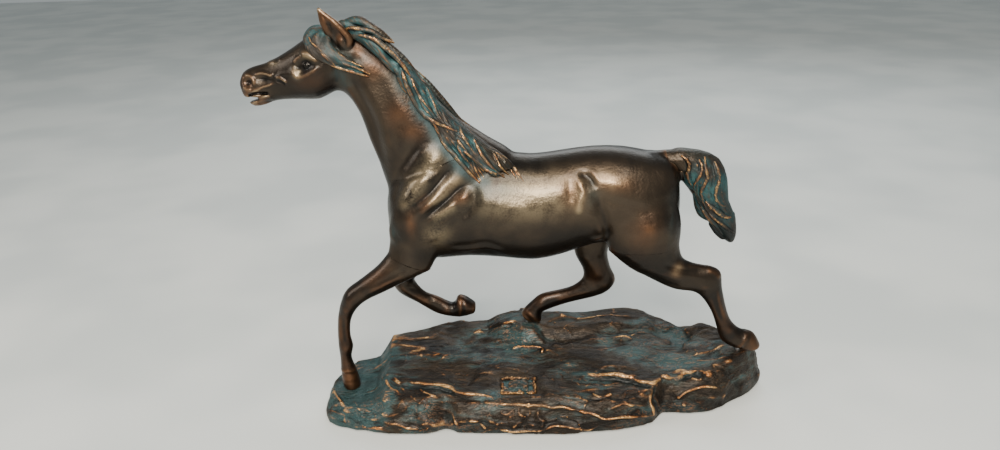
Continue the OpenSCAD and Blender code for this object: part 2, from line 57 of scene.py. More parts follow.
# ------------------------------------------------------------------ fields
class Field:
    """Signed distance to a surface, in mm, on a regular grid."""

    def __init__(self, low, high, step):
        self.step = float(step)
        self.low = np.asarray(low, float)
        size = (np.asarray(high, float) - self.low) / step
        self.shape = np.ceil(size).astype(int) + 1
        self.d = np.full(self.shape, BAND * step, np.float32)

    def axes(self, window=None):
        """Coordinates of the grid lines, shaped to broadcast over a window."""
        window = window or tuple(slice(0, n) for n in self.shape)
        lines = []
        for axis, cut in enumerate(window):
            line = self.low[axis] + self.step * np.arange(cut.start, cut.stop)
            shape = [1, 1, 1]
            shape[axis] = len(line)
            lines.append(line.reshape(shape).astype(np.float32))
        return lines

    def window(self, low, high):
        """Index window that covers a box, empty where the box lies outside."""
        cuts = []
        for axis, count in enumerate(self.shape):
            a = math.floor((low[axis] - self.low[axis]) / self.step)
            b = math.ceil((high[axis] - self.low[axis]) / self.step) + 1
            a = min(max(a, 0), int(count))
            b = max(min(b, int(count)), a)
            cuts.append(slice(a, b))
        return tuple(cuts)

    def mesh_distance(self, points, triangles):
        """Distance field of a closed mesh, on this grid."""
        transform = vdb.createLinearTransform(voxelSize=self.step)
        moved = (points - self.low).astype(np.float32)
        grid = vdb.FloatGrid.createLevelSetFromPolygons(
            moved, triangles=triangles.astype(np.uint32), transform=transform, halfWidth=BAND)
        out = np.full(self.shape, BAND * self.step, np.float32)
        grid.copyToArray(out, ijk=(0, 0, 0))
        return out

    def soften(self, sigma):
        """Rounds the surface off over about sigma mm."""
        self.d = gaussian(self.d, sigma / self.step)

    def take_from(self, other):
        """Reads the distances of another field over this grid, axis by axis."""
        values = other.d
        for axis in range(3):
            line = self.low[axis] + self.step * np.arange(self.shape[axis])
            at = (line - other.low[axis]) / other.step
            values = read_axis(values, axis, np.clip(at, 0, other.shape[axis] - 1.001))
        self.d = values

    def add_strand(self, rows, blend=0.3, count=4):
        """Unites a tapering strand with the solid: rows of x, y, z and radius."""
        path = curve(rows, count) if len(rows) > 1 else []
        for a, b in zip(path[:-1], path[1:]):
            reach = max(a[3], b[3]) + 3.0
            window = self.window(np.minimum(a, b)[:3] - reach, np.maximum(a, b)[:3] + reach)
            x, y, z = self.axes(window)
            ab = b[:3] - a[:3]
            size = max(float(ab @ ab), 1e-9)
            t = ((x - a[0]) * ab[0] + (y - a[1]) * ab[1] + (z - a[2]) * ab[2]) / size
            t = np.clip(t, 0, 1)
            dist = np.sqrt((x - a[0] - t * ab[0]) ** 2 + (y - a[1] - t * ab[1]) ** 2
                           + (z - a[2] - t * ab[2]) ** 2) - (a[3] + (b[3] - a[3]) * t)
            self.d[window] = smooth_min(self.d[window], dist.astype(np.float32), blend)

    def noise(self, scale, seed):
        """Smooth random values from -1 to 1, with cells of scale (x, y, z) mm."""
        rng = np.random.default_rng(seed)
        cells = [int(n * self.step / s) + 3 for n, s in zip(self.shape, scale)]
        values = rng.uniform(-1, 1, cells).astype(np.float32)
        for axis in range(3):
            at = self.step * np.arange(self.shape[axis]) / scale[axis]
            values = read_axis(values, axis, at, ease)
        return values


def read_axis(values, axis, at, bend=lambda part: part):
    """Reads a 3-D array at fractional places along one of its axes."""
    base = np.floor(at).astype(int)
    shape = [1, 1, 1]
    shape[axis] = -1
    part = bend(at - base).astype(np.float32).reshape(shape)
    return np.take(values, base, axis) * (1 - part) + np.take(values, base + 1, axis) * part


def smooth_min(a, b, radius):
    """The lesser of two distances, with the crease between them rounded."""
    h = np.clip(0.5 + 0.5 * (b - a) / radius, 0, 1)
    return b * (1 - h) + a * h - radius * h * (1 - h)


def gaussian(a, sigma):
    """Separable gaussian blur, sigma in voxels."""
    reach = math.ceil(2.5 * sigma)
    offsets = np.arange(-reach, reach + 1)
    weights = np.exp(-0.5 * (offsets / sigma) ** 2)
    weights = (weights / weights.sum()).astype(np.float32)
    for axis in range(a.ndim):
        pad = [(0, 0)] * a.ndim
        pad[axis] = (reach, reach)
        wide = np.pad(a, pad, mode="edge")
        out = np.zeros_like(a)
        for k, weight in enumerate(weights):
            cut = [slice(None)] * a.ndim
            cut[axis] = slice(k, k + a.shape[axis])
            out += weight * wide[tuple(cut)]
        a = out
    return a


def trilinear(array, at):
    """Reads an array of two or three axes at rows of fractional places."""
    shape = np.array(array.shape)
    at = np.clip(at, 0, shape - 1.001)
    base = np.floor(at).astype(int)
    part = (at - base).astype(np.float32)
    total = np.zeros(len(at), np.float32)
    for corner in range(2 ** array.ndim):
        weight = np.ones(len(at), np.float32)
        index = []
        for axis in range(array.ndim):
            bit = corner >> axis & 1
            index.append(base[:, axis] + bit)
            weight *= part[:, axis] if bit else 1 - part[:, axis]
        total += weight * array[tuple(index)]
    return total


def ease(t):
    """A smooth step from 0 at t = 0 to 1 at t = 1."""
    t = np.clip(t, 0, 1)
    return t * t * (3 - 2 * t)


# ------------------------------------------------------------------ curves
def curve(points, count=8):
    """Smooth curve (Catmull-Rom) through rows of numbers."""
    p = np.asarray(points, float)
    if len(p) == 2:
        t = np.linspace(0, 1, count + 1)[:, None]
        return p[0] * (1 - t) + p[1] * t
    ends = np.vstack([p[:1], p, p[-1:]])
    rows = []
    for i in range(len(p) - 1):
        a, b, c, d = ends[i:i + 4]
        t = np.linspace(0, 1, count, endpoint=False)[:, None]
        rows.append(0.5 * (2 * b + (c - a) * t + (2 * a - 5 * b + 4 * c - d) * t ** 2
                           + (3 * b - a - 3 * c + d) * t ** 3))
    rows.append(p[-1:])
    return np.vstack(rows)


def even(points, count):
    """The smooth curve through the points, as evenly spaced rows."""
    path = curve(points)
    steps = np.linalg.norm(np.diff(path, axis=0), axis=1)
    far = np.concatenate([[0], np.cumsum(steps)])
    where = np.linspace(0, far[-1], count)
    return np.stack([np.interp(where, far, column) for column in path.T], 1)


# ------------------------------------------------------------------ relief
class Relief:
    """A height map in mm, painted over two of the row's axes."""

    def __init__(self, low, high, step):
        self.step = float(step)
        self.low = np.asarray(low, float)
        self.shape = np.ceil((np.asarray(high, float) - self.low) / step).astype(int) + 1
        self.h = np.zeros(self.shape, np.float32)

    def window(self, low, high):
        """Index window that covers a rectangle, and its coordinates."""
        a = np.floor((np.asarray(low) - self.low) / self.step).astype(int)
        b = np.ceil((np.asarray(high) - self.low) / self.step).astype(int) + 1
        a = np.clip(a, 0, self.shape)
        b = np.clip(b, a, self.shape)
        u = self.low[0] + self.step * np.arange(a[0], b[0])[:, None]
        v = self.low[1] + self.step * np.arange(a[1], b[1])[None, :]
        return (slice(a[0], b[0]), slice(a[1], b[1])), u, v

    def near_path(self, path, reach):
        """Distance to a path, the side of it and how far along it, in a window."""
        pts = path[:, :2]
        window, u, v = self.window(pts.min(0) - reach, pts.max(0) + reach)
        best = np.full(np.broadcast(u, v).shape, 1e9, np.float32)
        along = np.zeros_like(best)
        side = np.zeros_like(best)
        n = len(pts) - 1
        for i in range(n):
            a, b = pts[i], pts[i + 1]
            ab = b - a
            size = max(float(ab @ ab), 1e-9)
            t = np.clip(((u - a[0]) * ab[0] + (v - a[1]) * ab[1]) / size, 0, 1)
            dx = u - a[0] - t * ab[0]
            dy = v - a[1] - t * ab[1]
            dist = dx * dx + dy * dy
            closer = dist < best
            best = np.where(closer, dist, best)
            along = np.where(closer, (i + t) / n, along)
            cross = ab[0] * (v - a[1]) - ab[1] * (u - a[0])
            side = np.where(closer, np.sign(cross), side)
        return window, np.sqrt(best), side, along

    def ridge(self, points, width, height, taper=0.25):
        """A rounded ridge, or a groove where height is below 0."""
        window, dist, _, along = self.near_path(curve(points), 3 * width)
        ends = ease(np.minimum(along, 1 - along) / taper)
        self.h[window] += height * ends * np.exp(-(dist / width) ** 2)

    def ledge(self, points, width, height, taper=0.2):
        """A step: raised left of the path, lowered right of it, fading out."""
        window, dist, side, along = self.near_path(curve(points), 4 * width)
        ends = ease(np.minimum(along, 1 - along) / taper)
        x = dist / width
        self.h[window] += height * ends * side * 1.8 * x * np.exp(-x * x)

    def dome(self, centre, radii, height, turn=0, power=1.0):
        """A soft bump, or a hollow where height is below 0."""
        reach = 2.6 * max(radii)
        centre = np.asarray(centre, float)
        window, u, v = self.window(centre - reach, centre + reach)
        c, s = math.cos(math.radians(turn)), math.sin(math.radians(turn))
        a = ((u - centre[0]) * c + (v - centre[1]) * s) / radii[0]
        b = (-(u - centre[0]) * s + (v - centre[1]) * c) / radii[1]
        self.h[window] += height * np.exp(-(a * a + b * b) ** power)

    def mellow(self, sigma, share):
        """Rounds the painted forms over about sigma mm, and keeps a share of them."""
        self.h = gaussian(self.h, sigma / self.step) * share

    def at(self, u, v):
        """Heights over broadcastable coordinate arrays of the two axes."""
        uu, vv = np.broadcast_arrays(u, v)
        at = np.stack([(uu.ravel() - self.low[0]) / self.step,
                       (vv.ravel() - self.low[1]) / self.step], 1)
        return trilinear(self.h, at).reshape(uu.shape)


# ------------------------------------------------------------------ meshes
def node_mesh(name):
    """Corners in mm and triangles of a CAD node."""
    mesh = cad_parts[name].data
    points = np.empty(len(mesh.vertices) * 3, np.float32)
    mesh.vertices.foreach_get("co", points)
    mesh.calc_loop_triangles()
    triangles = np.empty(len(mesh.loop_triangles) * 3, np.int32)
    mesh.loop_triangles.foreach_get("vertices", triangles)
    points = points.reshape(-1, 3).astype(float) / MM
    triangles = triangles.reshape(-1, 3)
    return weld(points, triangles)


def weld(points, triangles):
    """Joins corners that share a place, so that the mesh is closed."""
    keys = np.round(points * 1000).astype(np.int64)
    _, first, back = np.unique(keys, axis=0, return_index=True, return_inverse=True)
    triangles = back.reshape(-1)[triangles]
    whole = ((triangles[:, 0] != triangles[:, 1]) & (triangles[:, 1] != triangles[:, 2])
             & (triangles[:, 2] != triangles[:, 0]))
    return points[first], triangles[whole]


def box_of(name):
    """Low and high corner of a CAD node, in mm."""
    low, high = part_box(name)
    return np.array(low) / MM, np.array(high) / MM


def surface(field):
    """Quads of the zero level of a field, in mm."""
    grid = vdb.FloatGrid()
    grid.background = float(BAND * field.step)
    grid.transform = vdb.createLinearTransform(voxelSize=1.0)
    grid.copyFromArray(field.d)
    points, quads = grid.convertToQuads(isovalue=0.0)
    points = points * field.step + field.low
    return points, quads[:, ::-1].astype(np.int64)


def labels(count, faces):
    """Island number of each corner."""
    parent = np.arange(count)
    edges = np.vstack([faces[:, [k, (k + 1) % faces.shape[1]]] for k in range(faces.shape[1])])
    while True:
        low = np.minimum(parent[edges[:, 0]], parent[edges[:, 1]])
        before = parent.copy()
        np.minimum.at(parent, edges[:, 0], low)
        np.minimum.at(parent, edges[:, 1], low)
        parent = parent[parent]
        parent = parent[parent]
        if np.array_equal(before, parent):
            return parent


def largest_island(points, faces, keep=1):
    """Keeps the islands with the largest boxes."""
    island = labels(len(points), faces)
    names = np.unique(island[faces[:, 0]])
    sizes = []
    for name in names:
        inside = points[island == name]
        sizes.append(np.prod(inside.max(0) - inside.min(0) + 0.01))
    best = names[np.argsort(sizes)[::-1][:keep]]
    return faces[np.isin(island[faces[:, 0]], best)]


def vertex_normals(points, faces):
    """Unit normals of the corners, from the quads around them."""
    a, b, c, d = (points[faces[:, k]] for k in range(4))
    face_normal = np.cross(c - a, d - b)
    total = np.zeros_like(points)
    for k in range(4):
        np.add.at(total, faces[:, k], face_normal)
    length = np.linalg.norm(total, axis=1, keepdims=True)
    return total / np.maximum(length, 1e-12)


class Cut:
    """A joint plane: what lies on the side its normal points to is cut away."""

    def __init__(self, point, normal, reach):
        self.point = np.asarray(point, float)
        normal = np.asarray(normal, float)
        self.normal = normal / np.linalg.norm(normal)
        self.reach = reach

    def flipped(self):
        return Cut(self.point, -self.normal, self.reach)


ON_PLANE = 1e-7     # mm off a joint plane that still counts as on it


def snap_and_cut(points, faces, cut):
    """Moves corners near the plane onto it, and drops the faces beyond it."""
    s = (points - cut.point) @ cut.normal
    inside = np.linalg.norm(points - cut.point, axis=1) < cut.reach
    edges = np.vstack([faces[:, [k, (k + 1) % 4]] for k in range(4)])
    a, b = edges[:, 0], edges[:, 1]
    crossing = (s[a] * s[b] < 0) & inside[a] & inside[b]
    a, b = a[crossing], b[crossing]
    t = s[a] / (s[a] - s[b])
    where = points[a] + (points[b] - points[a]) * t[:, None]
    nearer = np.where(t < 0.5, a, b)
    points[nearer] = where
    s[nearer] = 0.0
    beyond = inside & (s > ON_PLANE)
    drop = beyond[faces].any(1)
    on_plane = (np.abs(s) <= ON_PLANE) & inside
    drop |= on_plane[faces].all(1)
    return points, faces[~drop]


def follow(onward, corner):
    """Takes one open edge that leaves a corner, and gives its far end."""
    end = onward[corner].pop()
    if not onward[corner]:
        del onward[corner]
    return end


def open_loops(faces):
    """Closed loops of the open edges, ordered against the faces' way round."""
    edges = np.vstack([faces[:, [k, (k + 1) % 4]] for k in range(4)])
    known = set(map(tuple, edges.tolist()))
    onward = {}
    for a, b in edges.tolist():
        if (b, a) not in known:
            onward.setdefault(b, []).append(a)
    loops = []
    while onward:
        start = next(iter(onward))
        loop, here = [start], follow(onward, start)
        while here != start and here in onward:
            loop.append(here)
            here = follow(onward, here)
        if here == start and len(loop) > 2:
            loops.append(loop)
    return loops


def write_mesh(name, points, faces, normals, marks):
    """Mesh object of quads and flat caps over its open loops, with vertex marks."""
    caps = open_loops(faces)
    used = np.unique(faces)
    index = np.full(len(points), -1)
    index[used] = np.arange(len(used))
    quads = index[faces]
    caps = [[int(index[k]) for k in loop] for loop in caps]
    mesh = bpy.data.meshes.new(name)
    mesh.from_pydata(points[used] * MM, [], quads.tolist() + caps)
    smooth = np.ones(len(mesh.polygons), bool)
    smooth[len(quads):] = False
    mesh.polygons.foreach_set("use_smooth", smooth)
    for key, values in marks.items():
        layer = mesh.attributes.new(key, "FLOAT", "POINT")
        layer.data.foreach_set("value", np.ascontiguousarray(values[used], np.float32))
    corner = np.empty(len(mesh.loops), np.int64)
    mesh.loops.foreach_get("vertex_index", corner)
    split = normals[used][corner]
    if caps:
        flat = np.empty(len(mesh.polygons) * 3, np.float32)
        mesh.polygons.foreach_get("normal", flat)
        flat = flat.reshape(-1, 3)
        at = 4 * len(quads)
        for k, cap in enumerate(caps):
            split[at:at + len(cap)] = flat[len(quads) + k]
            at += len(cap)
    mesh.normals_split_custom_set(split.tolist())
    mesh.update()
    obj = bpy.data.objects.new(name, mesh)
    bpy.context.scene.collection.objects.link(obj)
    return obj


def bend_marks(field, points):
    """How far the surface stands proud (+) or lies sunk (-) at two scales."""
    fine = gaussian(np.clip(field.d, -3, 3), 0.9 / field.step)
    middle = gaussian(fine, 1.8 / field.step)
    at = (points - field.low) / field.step
    return {"fine": trilinear(fine, at), "middle": trilinear(middle, at)}


def make_piece(name, node, slot, field, cuts=(), keep=1):
    """Turns a field into the finished piece that stands for a CAD node."""
    material, paint = FINISHES[slot]
    points, faces = surface(field)
    faces = largest_island(points, faces, keep)
    normals = vertex_normals(points, faces)
    marks = {**bend_marks(field, points), **paint(points)}
    for cut in cuts:
        points, faces = snap_and_cut(points, faces, cut)
    if cuts:
        faces = largest_island(points, faces, keep)
    piece = write_mesh(name, points, faces, normals, marks)
    piece.data.materials.append(material)
    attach(piece, "root")
    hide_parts(node)


# ------------------------------------------------------------------ horse body
# Joint planes between the castings: a point, the way out of the part that is
# nearer the trunk, and how far from the point the cut may reach.
JOINTS = {
    "neck": Cut((-48.75, 0, 176.5), (-27, 0, 69.5), 60),
    "head": Cut((-108, 0, 242.75), (-38.5, 0, 4), 40),
    "left_foreleg": Cut((-70, -17, 111.5), (-13, 0, -28), 22),
    "right_foreleg": Cut((-66, 19, 109), (-10, 0, -28), 21),
    "left_hindleg": Cut((86, -17, 115.5), (1, 0, -48), 32),
    "right_hindleg": Cut((56, 19, 108), (0, 0, -28), 22),
}
LEG_SIDE = {"left_foreleg": NEAR, "right_foreleg": FAR, "left_hindleg": NEAR,
            "right_hindleg": FAR}
SKIN_NODES = ["torso", "neck", "head", "tail", *LEG_SIDE]
TAIL_X = 101.0      # where the tail casting meets the dock
EYE, EYE_RADIUS = (-123.2, 241.8), 2.5


def around(names, spare):
    """Box around CAD nodes, in mm."""
    boxes = [box_of(n) for n in names]
    low = np.min([b[0] for b in boxes], 0) - spare
    high = np.max([b[1] for b in boxes], 0) + spare
    return low, high


def node_field(node, low, high, step):
    """The distance field of a CAD node, in a box."""
    field = Field(low, high, step)
    field.d = field.mesh_distance(*node_mesh(node))
    return field


def fuse_skin(nodes, step):
    """One filled solid of all the horse's castings, free of joints and hollows."""
    low, high = around(nodes, 8)
    whole = Field(low, high, step)
    for node in nodes:
        window = whole.window(*around([node], 7))
        start = whole.low + step * np.array([cut.start for cut in window])
        count = np.array([cut.stop - cut.start for cut in window])
        part = node_field(node, start, start + step * (count - 1.5), step)
        whole.d[window] = smooth_min(whole.d[window], part.d, 1.0)
    points, quads = surface(whole)
    quads = largest_island(points, quads)
    triangles = np.vstack([quads[:, [0, 1, 2]], quads[:, [0, 2, 3]]])
    whole.d = whole.mesh_distance(points, triangles)
    return whole


def body_relief():
    """Muscles, folds and veins of the two sides, as height maps over X and Z."""
    def painted(mellow, share, *painters):
        relief = Relief((-185, 0), (185, 290), 0.4)
        for paint in painters:
            paint(relief)
        relief.mellow(mellow, share)
        return relief

    legs = {NEAR: (paint_left_foreleg, paint_left_hindleg, paint_sheath),
            FAR: (paint_right_foreleg, paint_right_hindleg)}
    sides = {}
    for side in (NEAR, FAR):
        relief = painted(1.3, 0.85, paint_shoulder, paint_barrel, paint_haunch, paint_neck)
        relief.h += painted(0.35, 0.8, paint_head).h
        relief.h += painted(0.7, 0.85, *legs[side]).h
        sides[side] = relief
    return sides


# Painters: each draws one part of the horse on a height map over X and Z.
def paint_sheath(r):
    r.dome((54.5, 123.5), (4.5, 2.2), 1.6, turn=12)


def paint_shoulder(r):
    # jugular groove and the crease above it
    r.ridge([(-57, 199), (-64, 187), (-70, 178), (-76, 166), (-80, 156)], 3.4, -1.7)
    r.ridge([(-49, 190), (-57, 186.4), (-63.1, 179.1), (-68.5, 172.3), (-73, 166)], 1.8, 1.2)
    r.ridge([(-50, 193), (-58, 189), (-64.5, 181), (-70, 174)], 1.4, -0.7)
    # the muscles that fan down and forward from under the mane
    r.ridge([(-42, 189), (-50, 181), (-57.5, 171.5), (-66, 161), (-74, 149)], 5.5, 2.4)
    r.ridge([(-36, 179), (-45.1, 169.8), (-53.4, 161), (-63.3, 154), (-73, 146.5)], 2.0, -2.4)
    r.ridge([(-30, 172), (-39.9, 165.6), (-47.3, 158.6), (-54.6, 152.9), (-61, 146)], 3.4, 1.9)
    r.ridge([(-38, 169.4), (-46, 161.6), (-54, 155)], 0.9, 0.5)
    r.ridge([(-33.4, 170.4), (-42.4, 164.2), (-50, 157.8)], 1.0, -0.7)
    r.ridge([(-27, 168), (-36.1, 160.9), (-44.3, 154.3), (-53.3, 148.5), (-62, 141)], 2.0, -2.2)
    r.ridge([(-35.6, 155), (-42.8, 151.6), (-50.3, 147), (-58, 141)], 2.4, 1.6)
    r.ridge([(-31, 152), (-41, 146.4), (-50, 141.6)], 1.8, -0.9)
    # point of the blade, and the edge of the upper arm
    r.dome((-32, 158), (5.4, 3.4), 1.4, turn=10)
    r.ridge([(-27, 168), (-25, 161), (-25, 155), (-29, 149), (-34, 144.5), (-41, 136.5),
             (-49, 126)], 3.0, -1.8)
    r.ridge([(-32, 148), (-39, 139), (-48, 130)], 3.2, 0.9)
    r.dome((-50, 134), (9, 7), 1.1, turn=35)
    r.ridge([(-63.5, 129), (-53, 131), (-46, 136)], 1.8, 0.7)
    r.ridge([(-67, 143), (-63.5, 134), (-60, 123)], 1.8, -1.1)
    r.dome((-66.4, 142), (2.6, 6), 0.9)
    r.dome((-72, 136), (5, 9), 1.0, turn=-10)
    r.ridge([(-81.5, 139), (-80.3, 132), (-76, 126.5)], 2.2, 1.0)
    r.ridge([(-77.6, 138), (-76.4, 132), (-73, 128)], 1.4, -0.8)


def paint_barrel(r):
    r.ridge([(-24, 157), (-13.3, 153.6), (0.9, 150), (14, 149)], 4.5, 0.7)
    r.ridge([(-30, 143), (-16, 140), (0, 141), (14, 144.5)], 5.0, -0.7)
    r.ridge([(-46, 119.6), (-31, 119.3), (-18.5, 121.4), (-9.6, 118), (0, 111)], 1.7, 0.9)
    r.ridge([(-44, 123.6), (-31, 123.6), (-18.5, 125.6), (-8, 121)], 1.7, -0.7)
    for k, x in enumerate((-10, -1.5, 7, 15.5, 24)):
        r.ridge([(x, 156 - k), (x + 3.4, 143), (x + 2, 128)], 2.4, 0.22)
    r.dome((28, 161), (17, 9), 0.8, turn=8)


def paint_haunch(r):
    # the folds of the flank, in front of the hip
    r.ridge([(42.8, 168.6), (43, 163.3), (44.4, 158.6), (41.9, 152.5), (40.4, 143.5)], 1.7, 2.1)
    r.ridge([(41, 168.4), (46.6, 167.6), (50.3, 165), (51.4, 160.6)], 2.0, -2.6)
    r.ridge([(36.6, 168), (35.8, 160.6), (37.4, 152)], 2.4, -0.9)
    r.ridge([(47.4, 162), (48.6, 157), (47.2, 151)], 2.2, 0.8)
    r.ridge([(51.4, 160), (54.8, 150.6), (58.1, 141.7), (61, 130), (61.6, 120)], 2.6, -2.4)
    r.ridge([(45.5, 145.5), (50.4, 142), (54.6, 134), (57.2, 126.4)], 2.2, 1.1)
    r.ridge([(49.6, 172), (52.2, 168.4), (53.6, 162.6)], 1.6, 0.9)
    # hip, thigh and buttock
    r.dome((64, 165), (10, 4.6), 1.5, turn=-14)
    r.ridge([(53.4, 160.4), (58, 155), (64, 152), (73, 149.4), (86, 146.2)], 2.4, -0.8)
    r.dome((87, 131), (9, 11), 1.0)
    r.ridge([(84.6, 146.5), (87.2, 141), (89.4, 134)], 2.0, -0.5)
    r.ridge([(67, 148), (72.6, 138.7), (78, 129)], 3.4, -0.6)
    r.ridge([(99, 158), (99.6, 142), (98, 127), (94.5, 118)], 2.6, -0.7)
    r.ridge([(103.4, 155), (104.1, 140.5), (102.7, 126), (98.6, 117)], 2.4, 0.5)
    r.ridge([(72, 116.5), (77.4, 111), (85, 108)], 1.6, 0.7)
    r.dome((108.4, 102), (3, 4.4), 0.7, turn=-30)


def paint_neck(r):
    r.ridge([(-99, 238), (-96, 230), (-90.6, 217), (-86, 203), (-83, 184), (-81, 168)], 2.8, -1.9)
    r.ridge([(-92, 233), (-84.6, 218), (-79, 204), (-77, 193), (-74, 180)], 3.4, 1.3)
    r.ridge([(-86, 240), (-77, 224), (-71, 208), (-69, 196)], 4.4, -0.8)
    r.dome((-69, 213), (5, 12), 0.9, turn=30)
    r.dome((-97, 251), (5, 6), 0.8)
    r.ridge([(-104, 236), (-97, 242), (-89, 246)], 2.2, -0.7)
    r.ridge([(-101, 232), (-98.4, 222), (-93.6, 210)], 1.8, 0.7)


def paint_head(r):
    # ear and cheek
    r.ridge([(-100.6, 256), (-104, 262), (-108.6, 268.6)], 1.5, -0.8)
    r.dome((-116, 234), (7, 8), 1.0)
    r.ridge([(-107.4, 229), (-106, 236), (-107, 243)], 1.6, -1.1)
    r.ridge([(-143, 236.6), (-136, 237), (-131, 236)], 1.3, 0.5)
    r.dome((-136, 228.6), (7, 3.6), -0.7)
    # orbit and eye
    r.dome((-124, 241.6), (6.4, 4.4), -2.4, turn=10)
    r.dome((-128.6, 240.6), (1.6, 1.2), -0.7)
    r.ridge([(-131.4, 243), (-129, 246), (-125.6, 247.6)], 1.2, 1.0)
    r.ridge([(-127, 248.6), (-123, 249), (-119, 246.8), (-114.6, 243.6)], 2.2, 2.0)
    r.ridge([(-132.4, 242.6), (-131.6, 238.4), (-129.4, 235.2), (-124.4, 236.4),
             (-119, 239.4), (-115, 242)], 1.8, 1.5)
    r.dome((-129.8, 237.4), (2.4, 2.6), 0.9)
    r.ridge([(-127, 243.4), (-123.4, 244.8), (-119.6, 242.6)], 0.6, -0.5)
    # nostril and the folds behind it
    r.dome((-162, 231.6), (2.6, 2.2), -2.8)
    r.ridge([(-164.6, 235.6), (-161, 236.2), (-158.2, 233.6), (-158.4, 229.6)], 1.1, 1.1)
    r.ridge([(-166, 229.4), (-163, 227.6), (-160, 227.6)], 1.0, 0.7)
    r.ridge([(-158.6, 235.6), (-154, 237.4), (-150, 237), (-147, 236), (-145, 238)], 1.0, 1.3)
    r.dome((-151.6, 233.6), (4.2, 1.8), -1.6)
    r.ridge([(-145, 234.4), (-141.6, 235), (-139, 233.2), (-136, 231)], 1.0, 1.2)
    r.ridge([(-144, 232.4), (-141, 232), (-138, 230)], 0.9, -0.9)
    r.ridge([(-149.6, 242.8), (-146.6, 243.6), (-143.6, 243.6)], 0.7, 0.5)
    r.ridge([(-142, 244.6), (-139.6, 245.8)], 0.7, 0.4)
    # mouth
    r.ridge([(-161, 226), (-157, 227.2), (-153, 229), (-149, 230), (-144.4, 232)], 0.9, 1.2)
    r.ridge([(-163.4, 223.4), (-159, 224.8), (-155, 225), (-149.6, 224.4)], 0.9, -2.2, taper=0.15)
    r.ridge([(-162, 218), (-158, 221), (-155, 222.2), (-151, 223), (-148.4, 222)], 0.9, 0.9)
    r.ridge([(-159, 217.2), (-154, 219), (-148, 219.4)], 1.0, -0.6)


def paint_left_foreleg(r):
    r.ridge([(-70, 108), (-86, 100), (-100, 92)], 3.0, 0.9)
    r.ridge([(-66, 112), (-82, 104.5), (-96, 97)], 1.6, -0.8)
    r.ridge([(-76, 101), (-90, 94), (-103, 87)], 1.5, -0.6)
    r.dome((-112, 86), (4, 5), 0.9)
    r.dome((-115, 79), (2.4, 2.4), 0.5)
    r.ridge([(-120.6, 76), (-121.8, 62), (-122.2, 52)], 1.2, 0.5)
    r.ridge([(-117.4, 74), (-118.4, 62), (-118.4, 52)], 1.0, -0.7)
    r.dome((-118.6, 48), (3.6, 3.2), 0.6)
    r.ridge([(-126, 29.6), (-119, 30.4), (-112.4, 28.4)], 0.9, 0.7)
    r.ridge([(-126, 27.4), (-119, 27.8), (-112.4, 26)], 0.7, -0.5)
    r.ridge([(-126, 21), (-119, 21.4), (-112.4, 20)], 0.8, -0.25)


def paint_right_foreleg(r):
    r.ridge([(-84, 76), (-72, 67), (-60, 58.6)], 1.4, 0.6)
    r.ridge([(-80, 78), (-69, 70), (-58, 61.6)], 1.0, -0.7)
    r.dome((-81, 76), (4, 4), 0.8)
    r.ridge([(-80, 100), (-78, 90), (-80, 82)], 2.2, 0.5)
    r.dome((-50, 54), (3, 3), 0.5)
    r.ridge([(-41.6, 47), (-40, 56), (-41, 64)], 0.9, 0.7)
    r.ridge([(-39.2, 47), (-37.6, 56), (-38.6, 64)], 0.8, -0.5)


def paint_left_hindleg(r):
    r.ridge([(84, 106), (100, 99), (116, 94)], 3.0, 0.8)
    r.ridge([(96, 108), (112, 101), (128, 97.5)], 1.6, -1.0)
    r.ridge([(82, 99), (98, 92), (112, 87.6)], 1.6, -0.6)
    r.ridge([(128, 99), (134, 97), (138.5, 92)], 1.6, 0.9)
    r.dome((127, 87), (4.2, 3.4), 0.9)
    r.ridge([(136, 86), (139, 74), (145, 60)], 1.2, 0.6)
    r.ridge([(134, 82), (137, 72), (142, 58)], 1.0, -0.7)
    r.dome((147, 52), (3.2, 3), 0.5)
    r.ridge([(153.4, 36), (157.4, 42.6), (161, 49.6)], 0.9, 0.7)
    r.ridge([(156, 35), (160, 41.4), (163.6, 48)], 0.8, -0.5)


def paint_right_hindleg(r):
    r.ridge([(50, 98), (56, 86), (62, 76)], 2.4, 0.7)
    r.ridge([(60, 98), (64, 86), (68, 76)], 1.3, -0.7)
    r.dome((66, 70), (4, 4), 0.8)
    r.ridge([(60, 68), (44, 62.6), (30, 58)], 1.3, 0.5)
    r.ridge([(58, 63), (42, 58.4), (28, 54.4)], 1.0, -0.7)
    r.dome((20, 54), (3, 3), 0.5)
    r.ridge([(7.6, 50), (14, 45), (18, 39)], 0.9, 0.6)
    r.ridge([(6.4, 47.6), (12, 43), (15.6, 38)], 0.8, -0.5)


def relieve(field, sides):
    """Raises and sinks the surface of a field by the painted height maps."""
    x, y, z = field.axes()
    flat_x, flat_z = x[:, :, 0], z[0]
    for side, relief in sides.items():
        height = relief.at(flat_x, flat_z)[:, None, :]
        share = ease((side * y + 1.5) / 3.0)
        field.d -= height * share


def body_field(low, high, step, rounding, additions=()):
    """The horse's skin in a box, softened, added to and carved."""
    field = Field(low, high, step)
    field.take_from(SKIN)
    field.soften(rounding)
    for rows in additions:
        field.add_strand(rows, 1.2)
    relieve(field, SIDES)
    return field


def outer_side(field, side):
    """Y of the outermost surface on one side, as a map over X and Z.

    Its cover is 1 well inside the solid's outline, and falls to 0 beyond it.
    """
    solid = field.d < 0
    if side == FAR:
        solid = solid[:, ::-1]
    first = np.argmax(solid, axis=1)
    if side == FAR:
        first = solid.shape[1] - 1 - first
    y = np.where(solid.any(axis=1), field.low[1] + field.step * first, 0.0)
    ground = side_map(field, y, 1.2)
    ground.cover = side_map(field, solid.any(axis=1), 1.5)
    return ground


